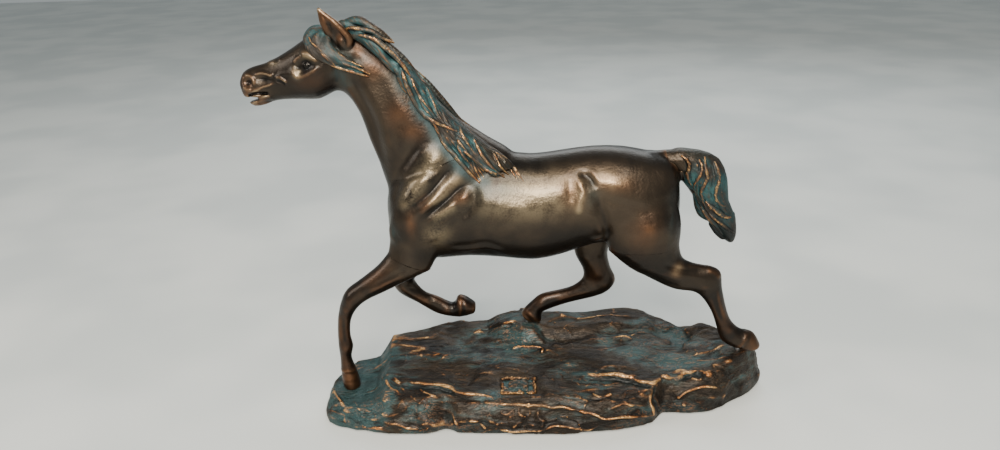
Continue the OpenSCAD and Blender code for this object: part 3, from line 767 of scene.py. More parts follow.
def side_map(field, values, blur):
    """A map over the X and Z of a field's grid, blurred over some mm."""
    flat = Relief(field.low[[0, 2]], field.low[[0, 2]], field.step)
    flat.shape = np.array(values.shape)
    flat.h = gaussian(values.astype(np.float32), blur / field.step)
    return flat


# ------------------------------------------------------------------ hair
COVERED = 0.96      # cover of the ground that a strand needs under it
SHORTEST = 5        # rows that the shortest strand has
FULL_TURN = 6.3     # radians, near enough for a wayward hair


def drape(path, ground, side, lift, radius):
    """Strand rows on the ground along a path over X and Z, inside its outline."""
    path = path[ground.cover.at(path[:, 0], path[:, 1]) > COVERED]
    if len(path) < SHORTEST:
        return []
    along = np.linspace(0, 1, len(path))
    y = ground.at(path[:, 0], path[:, 1]) + side * lift
    r = radius * np.interp(along, [0, 0.15, 0.6, 1], [0.45, 0.9, 1.0, 0.3])
    return np.stack([path[:, 0], y, path[:, 1], r], 1)


def comb(guides, each, wander, rng):
    """Paths of hair strands between neighbouring guides, a little wayward."""
    for a, b in zip(guides[:-1], guides[1:]):
        a, b = even(a, 14), even(b, 14)
        for k in range(each):
            share = (k + 0.5 + rng.uniform(-0.3, 0.3)) / each
            path = a * (1 - share) + b * share
            turns, phase = rng.uniform(0.6, 1.4), rng.uniform(0, FULL_TURN)
            sway = wander * np.sin(np.linspace(0, FULL_TURN * turns, 14) + phase)
            across = (b - a) / np.maximum(np.linalg.norm(b - a, axis=1, keepdims=True), 1e-6)
            path = path + across * sway[:, None]
            start, end = rng.integers(0, 4), rng.integers(10, 15)
            yield path[start:end] - (0.8, 1.2)


def grow_hair(field, under, edges, far_shift, combs, rng):
    """Lays the proud locks and the combed strands on both sides of a solid.

    Each comb is its guides, the strands between two guides, how far they
    wander, their lift and the greatest radius.
    """
    for side in (NEAR, FAR):
        ground = outer_side(under, side)
        for path, lift, radius in edges:
            path = even(path, 12)
            if side == FAR:
                path = path + far_shift
            field.add_strand(drape(path, ground, side, lift * 0.6, radius), 0.25, 1)
        for guides, each, wander, lift, thickest in combs:
            for path in comb(guides, each, wander, rng):
                radius = rng.uniform(0.4, thickest)
                field.add_strand(drape(path, ground, side, lift, radius), 0.4, 1)


MANE_GUIDES = [
    [(-70, 252), (-66, 239), (-63, 228), (-60, 221), (-56, 213), (-50, 207), (-43, 203),
     (-35, 199)],
    [(-69, 252), (-60, 242), (-55, 234), (-52, 226), (-48, 217), (-44, 209), (-38, 202)],
    [(-65, 249), (-53, 236), (-48, 227), (-43, 218), (-39, 210), (-36, 203), (-33, 197)],
    [(-58, 242), (-46, 228), (-40, 218), (-35, 208), (-31, 199), (-27, 190)],
    [(-50, 231), (-39, 219), (-32, 210), (-27, 202), (-22, 192), (-17, 184), (-11, 176)],
    [(-41, 220), (-31, 210), (-24, 203), (-19, 195), (-13, 187), (-7, 178), (-2, 171)],
    [(-31, 208), (-23, 201), (-16, 195), (-9, 189), (-3, 182), (3, 173), (8, 165)],
]
LOWER_GUIDES = [
    [(-50, 210), (-46, 201), (-42, 192), (-36, 184), (-29, 176), (-22, 168)],
    [(-46, 209), (-39, 202), (-34, 193), (-28, 185), (-23, 176), (-19, 167)],
    [(-41, 205), (-33, 198), (-28, 189), (-22, 181), (-15, 174), (-6, 169)],
    [(-35, 203), (-27, 195), (-22, 187), (-14, 179), (-7, 173), (0, 169)],
]
MANE_EDGES = [      # the proud gold-edged locks: path, lift and radius
    ([(-68, 243), (-65, 235), (-63, 228), (-60, 221), (-57, 214), (-51, 208), (-44, 204),
      (-34, 199)], 1.6, 1.7),
    ([(-48, 205), (-45, 198), (-42, 191), (-35, 183), (-28, 174), (-21, 166.5)], 1.6, 1.7),
    ([(-38, 203), (-33, 193), (-27, 185), (-23, 174), (-20, 167)], 1.0, 1.0),
    ([(-30, 187), (-23, 181), (-16, 174.6), (-6, 170)], 1.4, 1.5),
    ([(-58, 240), (-55, 234), (-52, 226), (-48, 217), (-45, 209)], 1.0, 0.9),
    ([(-52, 236), (-48, 227), (-43, 218), (-39, 204)], 1.2, 1.0),
    ([(-46, 228), (-40, 218), (-35, 208), (-31, 197), (-25, 188)], 1.3, 1.2),
    ([(-36, 216), (-33, 211), (-28, 202), (-24, 194), (-19, 184), (-12, 175), (-5, 169)],
     1.3, 1.1),
    ([(-30, 209), (-24, 202), (-19, 195), (-12, 185), (-7, 175), (-2, 170)], 1.0, 0.9),
    ([(-24, 202), (-17, 196), (-9, 190), (-2, 182), (4, 172), (9, 163)], 0.8, 0.9),
    ([(-14, 186), (-6, 181), (1, 174), (7, 166)], 0.8, 0.8),
    ([(-60, 232), (-58, 226), (-54, 219), (-49, 212)], 1.2, 0.9),
    ([(-47, 201), (-42, 195), (-38, 187), (-32, 180)], 1.2, 0.9),
    ([(-34, 190), (-30, 183), (-25, 176)], 1.3, 1.1),
]
CREST_LOCKS = [     # x, y, z and radius, on the display side
    [(-104, -3, 262, 1.4), (-97, -3.4, 265.6, 2.4), (-90, -4, 266.4, 3.0),
     (-84, -5, 263.4, 2.8), (-77, -5.4, 258.8, 2.2), (-70.6, -5.4, 253.6, 0.9)],
    [(-99, -6.4, 262, 0.6), (-94, -8, 263, 1.1), (-88, -8.4, 262, 1.5), (-82, -8.6, 260.4, 1.5),
     (-76, -8.4, 256, 1.3), (-69.6, -7.4, 253.4, 0.6)],
    [(-94, -7, 259.4, 0.6), (-88, -10, 258.6, 1.1), (-81, -10.6, 256.6, 1.6),
     (-75, -10.8, 251.6, 1.7), (-69.4, -10.8, 246, 1.5), (-64.6, -11, 240, 1.2),
     (-61, -11, 233.6, 0.6)],
    [(-84, -7.6, 258, 1.2), (-77, -9, 253, 1.6), (-70, -9.2, 247, 1.5), (-64, -9.4, 240, 0.8)],
    [(-80, -4, 258, 1.6), (-72, -4, 250, 2.0), (-64, -4.2, 242, 1.9), (-57, -4.2, 233.4, 0.6)],
    [(-60, -1.4, 236.6, 0.8), (-52, -1.6, 227.4, 2.0), (-46, -1.8, 219.4, 2.4),
     (-40, -1.8, 211.8, 2.2), (-33.4, -1.4, 203.4, 1.6), (-26, -1.2, 197, 1.0)],
]
PIN_LOCKS = [       # locks that cover the ends of the mane pins
    [(-74, -7.6, 245, 0.6), (-71.2, -9.4, 240.8, 1.4), (-68, -10.4, 236, 1.9),
     (-64.8, -10.2, 231, 1.4), (-62, -9.4, 226.6, 0.6)],
    [(-60, -7.6, 231, 0.6), (-57, -9.2, 226.8, 1.4), (-54, -10.1, 222, 1.9),
     (-51, -10.2, 217.2, 1.4), (-48.4, -9.8, 213, 0.6)],
    [(-42, -12.6, 205.4, 0.6), (-39, -14.4, 200.8, 1.4), (-36, -15.2, 196, 1.9),
     (-33, -15.0, 191.2, 1.4), (-30.4, -13.8, 187, 0.6)],
]


def make_mane():
    """The mane's casting, its locks and its strands."""
    low, high = around(["mane"], 6)
    low[0] -= 4
    high[0] += 8
    field = node_field("mane", low, high, 0.4)
    field.soften(1.1)
    field.d += 0.5
    under = Field(low, high, 0.4)
    under.take_from(SKIN)
    under.soften(1.0)
    under.d = np.minimum(under.d, field.d)
    rng = np.random.default_rng(7)
    combs = [(MANE_GUIDES, 7, 0.6, 0.1, 0.9), (LOWER_GUIDES, 6, 0.5, 0.2, 0.9)]
    grow_hair(field, under, MANE_EDGES, (3.0, -1.0), combs, rng)
    for rows in CREST_LOCKS:
        field.add_strand(rows)
        shift = rng.uniform(-2, 2)
        field.add_strand([(x + shift, -0.9 * y, z - 1.0, r) for x, y, z, r in rows])
    for rows in PIN_LOCKS:
        field.add_strand(rows)
    make_piece("mane_casting", "mane", "hair_patina", field)


TAIL_GUIDES = [
    [(104, 175), (110, 173), (114, 166), (117, 156), (121, 147), (125, 138), (131, 127),
     (140, 117), (147, 111)],
    [(104, 177), (113, 177), (119, 172), (121, 163), (122, 153), (127, 143), (134, 133),
     (142, 122), (148, 112)],
    [(106, 178), (120, 178), (126, 173), (127, 163), (127, 152), (131, 143), (138, 134),
     (146, 124), (150, 113)],
    [(110, 178), (126, 178), (133, 170), (135, 160), (134, 150), (138, 142), (144, 134),
     (150, 124), (151, 114)],
    [(114, 178.4), (130, 177), (138, 168), (140, 157), (142, 147), (146, 140), (150, 132),
     (152, 122), (151, 115)],
]
TAIL_EDGES = [      # the proud gold-edged locks: path, lift and radius
    ([(107, 176), (112, 174), (115, 169), (114, 163), (118, 154), (122, 145)], 1.2, 1.3),
    ([(113, 178), (119, 175), (123, 169), (122, 163), (119, 155), (122, 147)], 1.2, 1.2),
    ([(119, 178), (125, 175), (125, 167), (127, 162), (124, 152), (126, 144), (129, 137)], 1.3, 1.4),
    ([(127, 177), (131, 172), (134, 165), (135, 159), (133, 150), (136, 142), (145, 138)], 1.3, 1.3),
    ([(132, 176), (138, 168), (140, 159), (141, 149), (144, 142), (148, 137)], 1.0, 1.2),
    ([(128, 143), (131, 140), (135, 137), (139, 133.6), (144, 131.4), (150, 131.6)], 1.8, 1.9),
    ([(124, 141), (130, 132), (136, 125), (141, 118), (146, 112)], 1.0, 1.4),
    ([(131, 134), (138, 128), (144, 123), (149, 119), (149.6, 113)], 1.0, 1.3),
]
TAIL_LUMPS = [      # x, y, z and radius of the swellings of its outline
    [(122.6, 0, 145, 1.6), (125, 0, 139.5, 2.9), (126.2, 0, 136, 3.0), (128.2, 0, 132, 2.9),
     (132, 0, 128.4, 2.0)],
    [(135.6, 0, 124, 2.4), (140, 0, 118.6, 3.0), (144, 0, 114.8, 3.0)],
    [(144, -4.4, 132.4, 1.6), (147.2, -2.4, 131, 1.8), (148.8, 0, 130.6, 1.5),
     (147.2, 2.4, 131, 1.4)],
]
# x, y, z and radius of the tail's root, and of the dock that it grows from
TAIL_ROOT = [(100, 0, 171.2, 5.6), (106, 0, 171.4, 6.2), (112, 0, 170.2, 7.4),
             (118, 0, 166.5, 8.6), (123, 0, 160, 9.4)]
DOCK = [(78, 0, 167.2, 5.2), (88, 0, 169.4, 5.4), (96, 0, 170.8, 5.6), (103, 0, 171.4, 5.8)]
DOCK_HALF, DOCK_FLOOR = 7.4, 164.8      # half width of the dock and Z of its underside


def make_tail():
    """The tail's casting, grown out of the dock without a step."""
    low, high = around(["tail"], 6)
    field = node_field("tail", low, high, 0.4)
    field.soften(1.0)
    field.d += 0.4
    dock = Field(low, high, 0.4)
    dock.take_from(SKIN)
    dock.soften(1.8)
    dock.add_strand(DOCK, 1.2)
    root = Field(low, high, 0.4)
    root.add_strand(TAIL_ROOT, 0.3)
    field.d = smooth_min(field.d, root.d, 3.0)
    for rows in TAIL_LUMPS:
        field.add_strand(rows, 0.6)
    rng = np.random.default_rng(11)
    grow_hair(field, field, TAIL_EDGES, (0, 0), [(TAIL_GUIDES, 7, 0.7, 0.1, 1.0)], rng)
    x, y, z = dock.axes()
    beside = np.maximum(np.maximum(np.abs(y) - DOCK_HALF, DOCK_FLOOR - z), x - TAIL_X - 9)
    share = ease((x - TAIL_X) / 8)
    dock_end = -smooth_min(-dock.d, -beside, 2.5)
    field.d = field.d * share + dock_end * (1 - share)
    cut = Cut((TAIL_X, 0, 171.8), (-1, 0, 0), 30)
    make_piece("tail_casting", "tail", "hair_patina", field, [cut])


FORELOCK_LOCKS = [      # the broad locks: x, y, z and radius
    [(-110, -5, 261.4, 1.6), (-117.4, -6, 261.4, 2.4), (-121, -8, 256.6, 2.6),
     (-118, -11, 251.4, 2.6), (-112, -12.6, 247.4, 2.6), (-104, -13, 243.8, 2.0),
     (-96, -12.8, 241.2, 1.4), (-86, -12.2, 237, 0.8)],
    [(-110, -6, 260.6, 1.6), (-115, -9, 258.6, 2.4), (-114, -11.6, 253, 2.4),
     (-108, -12.8, 248.4, 2.2), (-101, -13.2, 244.4, 1.9), (-94, -13, 240.2, 1.4),
     (-85, -12.4, 235.6, 0.7)],
    [(-108, -7, 259.6, 1.6), (-109, -10.6, 255, 2.4), (-105, -12.4, 249.6, 2.2),
     (-98, -12.6, 245.2, 1.7), (-90, -12.2, 241.4, 0.8)],
    [(-112, 2, 262, 1.8), (-119.4, 3, 259.6, 2.6), (-122.4, 2, 256, 2.0), (-124, -2, 252.4, 0.8)],
    [(-111, 5, 261.4, 1.8), (-117.4, 7, 259.4, 2.2), (-118.6, 9.6, 254, 1.8),
     (-115, 11.6, 249, 0.9)],
    [(-112, -1, 262.8, 1.8), (-118.4, -2, 262, 2.4), (-122.8, -4, 257.8, 2.0),
     (-124.2, -6, 253, 0.9)],
]
FORELOCK_STRANDS = [    # the fine gold-edged ones that lie on them
    [(-121.4, -8.8, 258.4, 0.5), (-119.4, -11.4, 254.4, 0.8), (-115, -13.6, 251.2, 1.1),
     (-110.6, -14.8, 248.4, 1.4), (-107.4, -15.2, 245.2, 1.2), (-105, -14.8, 242.6, 0.5)],
    [(-119.6, -10.6, 258.8, 0.4), (-117.8, -12.6, 255.6, 0.6), (-113.8, -14.2, 252.6, 0.8),
     (-110.4, -15, 249.6, 0.6)],
    [(-122.8, -7.6, 255.6, 0.4), (-121, -10.6, 251.6, 0.8), (-116.4, -13, 248.4, 1.0),
     (-111.4, -14, 245, 1.0), (-105.4, -14.2, 241.8, 0.8), (-97, -14, 238.8, 0.5)],
    [(-106, -14.8, 245.6, 0.5), (-100, -14.8, 243.2, 0.8), (-93, -14.2, 240.4, 0.8),
     (-85, -13, 236, 0.4)],
    [(-108, -14.2, 242.6, 0.6), (-100, -14.4, 239.6, 0.9), (-92, -13.8, 236.8, 0.8),
     (-86, -12.8, 234.4, 0.4)],
    [(-104, -14.2, 248, 0.4), (-97, -14, 244.4, 0.7), (-89, -13, 240.6, 0.4)],
]


def make_forelock():
    """The two tufts between the ears: broad locks under fine ones."""
    low, high = around(["forelock"], 7)
    field = node_field("forelock", low, high, 0.35)
    for rows in FORELOCK_LOCKS:
        field.add_strand(rows, 1.0)
    field.soften(1.1)
    for rows in FORELOCK_STRANDS:
        field.add_strand(rows)
    make_piece("forelock_casting", "forelock", "hair_patina", field, keep=2)


# ------------------------------------------------------------------ castings
def make_torso():
    """The trunk, cut off square where the tail casting takes over the dock."""
    low, high = around(["torso"], 9)
    field = body_field(low, high, 0.6, 1.8, [DOCK])
    x, y, z = field.axes()
    beyond_dock = np.maximum(np.maximum(TAIL_X + 0.8 - x, np.abs(y) - DOCK_HALF),
                             DOCK_FLOOR - z)
    field.d = np.maximum(field.d, -beyond_dock)
    cuts = [JOINTS[k] for k in ("neck", *LEG_SIDE)]
    make_piece("torso_casting", "torso", "horse_bronze", field, cuts)


def make_neck():
    """The neck between its two joints, with the hind part of the near ear."""
    low, high = around(["neck"], 9)
    field = body_field(low, high, 0.55, 1.8, EAR)
    cuts = [JOINTS["neck"].flipped(), JOINTS["head"]]
    make_piece("neck_casting", "neck", "horse_bronze", field, cuts)


# x, y, z and radius of the near ear: its two sides and its middle. The joint
# plane runs through it, so both the head and the neck are made with it.
EAR = [
    [(-98.0, -7.4, 252, 1.8), (-96.2, -8.2, 256.4, 2.0), (-98.8, -9, 261, 1.9),
     (-103, -9.5, 265.8, 1.7), (-107, -9.6, 269.6, 1.3), (-110, -9.6, 272.2, 0.9),
     (-112, -9.4, 274.6, 0.4)],
    [(-102.6, -6.4, 253, 2.0), (-105.6, -7.8, 258.6, 2.0), (-109, -9, 266, 1.5),
     (-111.4, -9.4, 272, 0.8), (-112.2, -9.4, 274.6, 0.4)],
    [(-100.4, -7, 252, 2.4), (-101.4, -7.8, 257, 2.4), (-104.4, -8.8, 263.4, 2.0),
     (-108.4, -9.4, 269, 1.2)],
]


def make_head():
    """The head and its eyeballs, with the front part of the near ear."""
    low, high = around(["head"], 5)
    field = body_field(low, high, 0.36, 0.7, EAR)
    for side in (NEAR, FAR):
        surface_y = float(outer_side(field, side).at(np.array([EYE[0]]), np.array([EYE[1]]))[0])
        centre = surface_y - side * 1.5
        ball = [(EYE[0] + dx, centre, EYE[1], EYE_RADIUS) for dx in (-0.2, 0.2)]
        field.add_strand(ball, count=1)
    make_piece("head_casting", "head", "horse_bronze", field, [JOINTS["head"].flipped()])


def make_leg(node):
    """A leg, from a box that leaves out the other side's leg."""
    low, high = around([node], 6)
    if LEG_SIDE[node] == NEAR:
        high[1] = -1.0
    else:
        low[1] = 1.0
    field = body_field(low, high, 0.5, 1.0)
    make_piece(node + "_casting", node, "horse_bronze", field, [JOINTS[node].flipped()])


# ------------------------------------------------------------------ rock
ROCK_FOOT = 1.5     # underside of the rock casting
GRAIN_LINES = 46    # wavy lines that run along the deck


def rock_top_relief():
    """Ledges, seams and grain of the deck, as a height map over X and Y."""
    r = Relief((-145, -72), (190, 70), 0.5)
    rng = np.random.default_rng(3)
    for _ in range(GRAIN_LINES):
        x, y = rng.uniform(-120, 150), rng.uniform(-50, 45)
        length, lean = rng.uniform(14, 46), rng.uniform(-0.25, 0.25)
        steps = np.linspace(0, 1, 6)
        line = [(x + length * t, y + lean * length * t + rng.uniform(-1.6, 1.6)) for t in steps]
        r.ridge(line, rng.uniform(0.9, 2.4), rng.uniform(-0.6, 0.4))
    # the long front ledge and its branches
    front = [(-90, -27), (-84, -32), (-77, -32), (-67, -35), (-55, -37), (-47, -42), (-36, -47),
             (-24, -49), (-14, -51)]
    r.ledge(front, 3.4, 1.5)
    r.ridge(front, 0.9, 0.9, taper=0.1)
    r.ridge([(14, -52), (23, -53), (37, -55), (48, -57), (58, -58)], 1.0, 0.9)
    r.ridge([(-69, -37), (-66, -43), (-59, -48), (-50, -50)], 0.9, 1.0)
    r.ridge([(59, -55), (68, -53), (80, -52)], 0.9, 0.7)
    r.ridge([(-92, -27), (-90, -35), (-84, -40), (-80, -45)], 1.2, 1.2)
    r.ridge([(-87, -26), (-81, -34), (-76, -43)], 1.2, 1.0)
    # the ledge on the right, and the seams behind it
    right = [(47, -26), (54, -31), (64, -32), (76, -36), (90, -41), (100, -38), (112, -34),
             (124, -31), (132, -36), (140, -38)]
    r.ledge(right, 3.0, 1.5)
    r.ridge(right, 0.9, 1.0, taper=0.1)
    r.ridge([(140, -38), (148, -31), (158, -24), (166, -17), (171, -6)], 1.2, 1.0)
    r.ridge([(92, -42), (93, -46), (94, -50)], 1.1, -1.2)
    # the hollow with a proud rim, the crater and the small hooked seam
    r.dome((70, 4), (15, 5), -1.2, turn=-3, power=1.6)
    r.ridge([(55, 10.6), (62, 11), (69, 10), (77, 10), (83, 9), (84, 3)], 0.8, 1.2)
    r.ridge([(86, 10), (91, 13), (96, 14), (105, 12)], 0.8, 1.0)
    r.ridge([(51, -44), (52, -49), (56, -52), (61, -49), (60.6, -45)], 0.8, 1.1)
    r.dome((56, -47), (3.4, 2.2), -1.1)
    r.ridge([(-3, 3), (6, 3), (13, 2), (17.4, 1)], 0.8, 1.3, taper=0.1)
    r.ridge([(17.4, 2), (18, -2), (18, -6)], 0.8, 1.1, taper=0.1)
    r.dome((6, -3), (14, 4), -0.8)
    # left slab
    r.ridge([(-131, -24), (-128, -31), (-124, -38), (-113, -44), (-102, -49), (-92, -54),
             (-79, -57), (-70, -58)], 1.1, 1.0, taper=0.08)
    r.dome((-79, -52), (4, 2.8), 1.3)
    r.ridge([(-83, -53), (-79, -50.6), (-75, -53)], 0.7, 0.6)
    r.ridge([(-112, -27), (-104, -29), (-96, -29)], 0.8, 0.8)
    r.ridge([(-106, -12), (-98, -14), (-92, -12)], 0.8, 0.7)
    # back of the deck
    r.ridge([(-70, 6), (-62, 0), (-56, -3), (-66, -6)], 0.9, 0.9)
    r.ridge([(-40, 20), (-24, 24), (-8, 22), (10, 26)], 1.2, 0.9)
    r.ridge([(30, 30), (50, 27), (72, 31), (90, 28)], 1.2, 0.9)
    return r


def rock_front_relief():
    """Folds and seams of the front wall, as a height map over X and Z."""
    r = Relief((-145, -6), (190, 45), 0.5)
    r.ridge([(-130, 11), (-124, 13), (-113, 12), (-102, 11), (-92, 10.4), (-79, 8), (-66, 4)],
            1.1, 1.1, taper=0.08)
    r.ridge([(-59, 20), (-51, 15), (-45, 13.6), (-42, 10), (-38, 4)], 1.0, 1.2)
    r.ridge([(-26, 21.6), (-14, 21), (4, 20), (23, 19), (37, 17), (48, 15), (56, 12), (73, 11),
             (95, 6)], 1.1, 1.4, taper=0.08)
    r.ridge([(-62, 22), (-47, 20), (-36, 21), (-24, 21)], 1.0, 0.8)
    r.ridge([(2, 17), (-1, 11), (-6, 5)], 1.9, 0.9)
    r.ridge([(15, 19), (12, 13), (15, 8), (11, 3)], 1.7, 1.0)
    r.dome((6, 12), (4, 6), -1.2)
    r.dome((-13, 12), (8, 4.6), -1.5)
    r.dome((30, 10), (12, 4.4), -1.3)
    r.ridge([(-24, 7), (-5, 3.8), (13, 4), (27, 7.4), (54, 2)], 1.0, 1.0)
    r.ridge([(59, 16), (68, 18), (73, 18), (86, 15)], 0.9, 1.0)
    r.ridge([(91.4, 24), (92, 18), (93, 9), (95, 2)], 1.1, -2.0)
    r.ridge([(88.6, 22), (89.4, 12), (91, 3)], 1.0, 1.2)
    r.ridge([(104, 10), (110, 14), (118, 18), (132, 20), (141, 16)], 1.0, 1.2)
    r.dome((124, 12.6), (9, 4), -1.2, turn=12)
    r.ridge([(-108, 4), (-96, 5.4), (-86, 3.6)], 1.6, 0.8)
    r.ridge([(-34, 14), (-28, 9), (-24, 4)], 1.2, 0.9)
    return r


def calm_spots(x, y):
    """1 on open rock, 0 under the plaque and the hooves that must sit on it."""
    low, high = box_of("plaque")
    middle, half = (low + high) / 2, (high - low) / 2
    apart = np.maximum(np.abs(x - middle[0]) - half[0], np.abs(y - middle[1]) - half[1])
    calm = ease((apart + 2.0) / 10.0)
    for leg in LEG_SIDE:
        points, _ = node_mesh(leg)
        sole = points[points[:, 2] < points[:, 2].min() + 2.0].mean(0)
        calm = calm * ease((np.hypot(x - sole[0], y - sole[1]) - 7) / 9)
    return calm


def terraces(level, rise):
    """Turns a smooth height into steps with sharp upper edges."""
    whole = np.floor(level)
    return whole + ease((level - whole - 0.5) / rise + 0.5)


def make_rock():
    """The rock: broken into terraces, with painted ledges, seams and grain."""
    low, high = around(["rock_base"], 5)
    field = node_field("rock_base", low, high, 0.65)
    field.d = np.minimum.accumulate(field.d[:, :, ::-1], axis=2)[:, :, ::-1]
    field.soften(0.8)
    x, y, z = field.axes()
    waves = field.noise((52, 24, 22), 21) + 0.35 * field.noise((17, 8, 12), 22)
    waves += 0.10 * field.noise((6, 3.4, 6), 23)
    crag = 1.5 * terraces(0.85 * waves + 0.5, 0.16)
    crag += 0.9 * field.noise((21, 9, 9), 2) + 0.32 * field.noise((9, 2.8, 5), 4)
    crag += 0.12 * field.noise((3.4, 1.8, 2), 7)
    seam = np.abs(field.noise((40, 19, 11), 5) + 0.35 * field.noise((8, 6, 5), 6))
    crag += 0.5 * np.clip(1 - seam / 0.06, 0, 1) ** 2
    slope_y, slope_z = np.gradient(field.d, field.step, axis=(1, 2))
    upward = np.clip(slope_z, 0, 1) ** 2
    forward = np.clip(-slope_y, 0, 1) ** 2
    sway = field.noise((7, 6, 5), 31)
    top = rock_top_relief().at(x[:, :, 0] + 2.0 * sway[:, :, 0], y[:, :, 0] + 1.6 * sway[:, :, -1])
    front = rock_front_relief().at(x[:, 0, :] + 2.0 * sway[:, 0, :],
                                   z[:, 0, :] + 1.2 * sway[:, -1, :])
    strength = 1.25 + 0.45 * field.noise((14, 10, 9), 32)
    crag += strength * (top[:, :, None] * upward + front[:, None, :] * forward)
    calm = calm_spots(x, y)
    field.d -= crag * calm + 0.4 * (1 - calm)
    cut = Cut((0, 0, ROCK_FOOT), (0, 0, -1), 500)
    make_piece("rock_casting", "rock_base", "rock_bronze", field, [cut])


def make_plaque():
    """The worn blank plaque: a raised rim round a rough sunken field."""
    low, high = around(["plaque"], 3)
    field = node_field("plaque", low, high, 0.3)
    field.soften(1.1)
    z = field.axes()[2]
    rough = 0.35 * field.noise((4, 3, 3), 8) + 0.25 * field.noise((1.6, 1.4, 1.4), 9)
    field.d -= rough * ease((z - low[2] - 3.5) / 1.0)
    make_piece("plaque_casting", "plaque", "rock_bronze", field)


# ------------------------------------------------------------------ painted marks
def two_sides(paint):
    """Maps over X and Z of both sides, painted the same way."""
    sides = {}
    for side in (NEAR, FAR):
        sides[side] = Relief((-185, 0), (185, 290), 1.0)
        paint(sides[side])
    return sides


def read_sides(sides, points):
    near = sides[NEAR].at(points[:, 0], points[:, 2])
    far = sides[FAR].at(points[:, 0], points[:, 2])
    return np.clip(np.where(points[:, 1] < 0, near, far), 0, 1)


def paint_rub(r):
    """Where hands and cloths have worn the brown down to copper."""
    r.dome((-69, 210), (7, 8), 0.8, turn=20)
    r.dome((-61, 199), (6, 5), 0.6)
    r.dome((-92, 249), (3, 5), 0.6)
    r.dome((-101.6, 258), (1.8, 4), 0.9, turn=-30)
    r.dome((-84, 238), (6, 7), 0.45)
    r.dome((64, 164), (11, 4.4), 1.0, turn=-12)
    r.dome((36, 158), (6, 8), 0.8)
    r.ridge([(43, 168), (43, 163), (44, 158), (42, 152), (41, 145)], 2.4, 0.8)
    r.dome((-33, 157), (5, 3.4), 0.8)
    r.ridge([(-30, 172), (-40, 165), (-52, 155)], 2.4, 0.4)
    r.ridge([(-53, 161), (-62, 154)], 2.6, 0.4)
    r.dome((-66, 142), (3, 8), 0.6)
    r.dome((85, 132), (9, 12), 0.5, turn=-20)
    r.dome((87, 133), (3, 3), 0.5)
    r.dome((108, 102), (3.4, 4.4), 0.9, turn=-30)
    r.dome((-92, 104), (10, 4), 0.45, turn=35)
    r.dome((-118, 26), (7, 7), 0.9)
    r.dome((58, 80), (6, 8), 0.45)
    r.dome((166, 40), (6, 6), 0.5)
    r.dome((-116, 255), (4, 4), 0.5)
    r.dome((-122, 232), (10, 6), 0.3)
    r.dome((-162, 231), (2.6, 2.4), 1.0)


def paint_gilt_and_highlight(r):
    """Pale gold rub laid where the lit forms catch the light: part finisher's wax, part painted
    highlight.
    """
    r.dome((10, 156), (30, 11), 0.95, turn=3)
    r.ridge([(-42, 189), (-50, 181), (-57.5, 171.5), (-66, 161), (-74, 149)], 5.0, 0.9)
    r.ridge([(-30, 172), (-39.9, 165.6), (-47.3, 158.6), (-54.6, 152.9)], 3.0, 0.9)
    r.ridge([(-36, 153), (-44, 149), (-52, 143)], 2.6, 0.7)
    r.dome((-50, 133), (8, 7), 0.6, turn=35)
    r.dome((62, 165.6), (9, 4), 0.8, turn=-12)
    r.ridge([(43, 168), (43.4, 160), (42, 150), (41, 144)], 2.0, 0.9)
    r.dome((108, 102), (3, 4), 0.7, turn=-30)
    r.dome((-129.6, 237.6), (2.6, 3), 1.0)
    r.dome((-121, 248), (4, 2), 1.0, turn=-15)
    r.dome((-146, 243), (4, 1.4), 0.5)


def paint_shade(r):
    """Painted shade: dark bands under the belly, throat and jaw, on the hind legs, ear, neck, cheek,
    buttock and back.
    """
    r.ridge([(-70, 121), (-46, 116), (-20, 116), (10, 117), (40, 121), (62, 126)], 11, 0.9,
            taper=0.1)
    r.ridge([(-108, 226), (-98, 214), (-91, 198), (-87, 180), (-85, 160), (-82, 140)], 5.5, 0.8,
            taper=0.1)
    r.ridge([(-156, 220), (-138, 222), (-120, 224), (-106, 230)], 4, 0.8, taper=0.1)
    r.ridge([(60, 122), (76, 109), (94, 98), (112, 88)], 8, 0.8, taper=0.1)
    r.ridge([(-111, 273), (-106, 266), (-99, 257)], 5, 0.85, taper=0.1)
    r.ridge([(-95, 256), (-86, 248), (-77, 236)], 6, 0.6, taper=0.1)
    r.dome((-116, 233), (14, 9), 0.4)
    r.ridge([(108, 160), (110, 140), (108, 122)], 5, 0.6, taper=0.1)
    r.ridge([(-20, 172), (10, 175), (44, 179), (80, 178), (100, 176)], 4, 0.5, taper=0.1)


def paint_teal(r):
    """Where the hair's green patina has run onto the skin."""
    r.ridge([(-70, 246), (-67, 234), (-64, 222), (-58, 211), (-50, 203), (-46, 196), (-41, 187),
             (-34, 177), (-27, 169)], 4.2, 0.95, taper=0.08)
    r.ridge([(-30, 172), (-22, 167), (-12, 168)], 4.0, 0.5)
    r.dome((-10, 161), (14, 6), 0.35)
    r.ridge([(-108, 240), (-103, 234), (-100, 226)], 4.0, 0.5)
    r.ridge([(-112, 262), (-108, 254), (-104, 248), (-97, 244), (-88, 240)], 4.0, 0.8)
    r.dome((-83, 150), (3.5, 12), 0.35)
    r.dome((-79, 134), (3, 6), 0.5)
    r.dome((50, 157), (4, 7), 0.35)
    r.dome((102, 138), (3, 18), 0.3)


RUB = two_sides(paint_rub)
# pale gold, part gold rub and part painted highlight
GILT_AND_HIGHLIGHT = two_sides(paint_gilt_and_highlight)
# painted shade
PAINTED_SHADE = two_sides(paint_shade)
TEAL = two_sides(paint_teal)


def body_paint(points):
    from_eye = np.hypot(points[:, 0] - EYE[0], points[:, 2] - EYE[1])
    # painted shade: the painted map, and all that lies below the belly darkened towards the ground
    painted_shade = np.maximum(read_sides(PAINTED_SHADE, points), 0.55 * ease((110 - points[:, 2]) / 14))
    return {"rub": read_sides(RUB, points), "teal": read_sides(TEAL, points),
            "gilt_and_highlight": read_sides(GILT_AND_HIGHLIGHT, points), "painted_shade": painted_shade,
            "pupil": 1 - ease((from_eye - 1.8) / 0.9)}


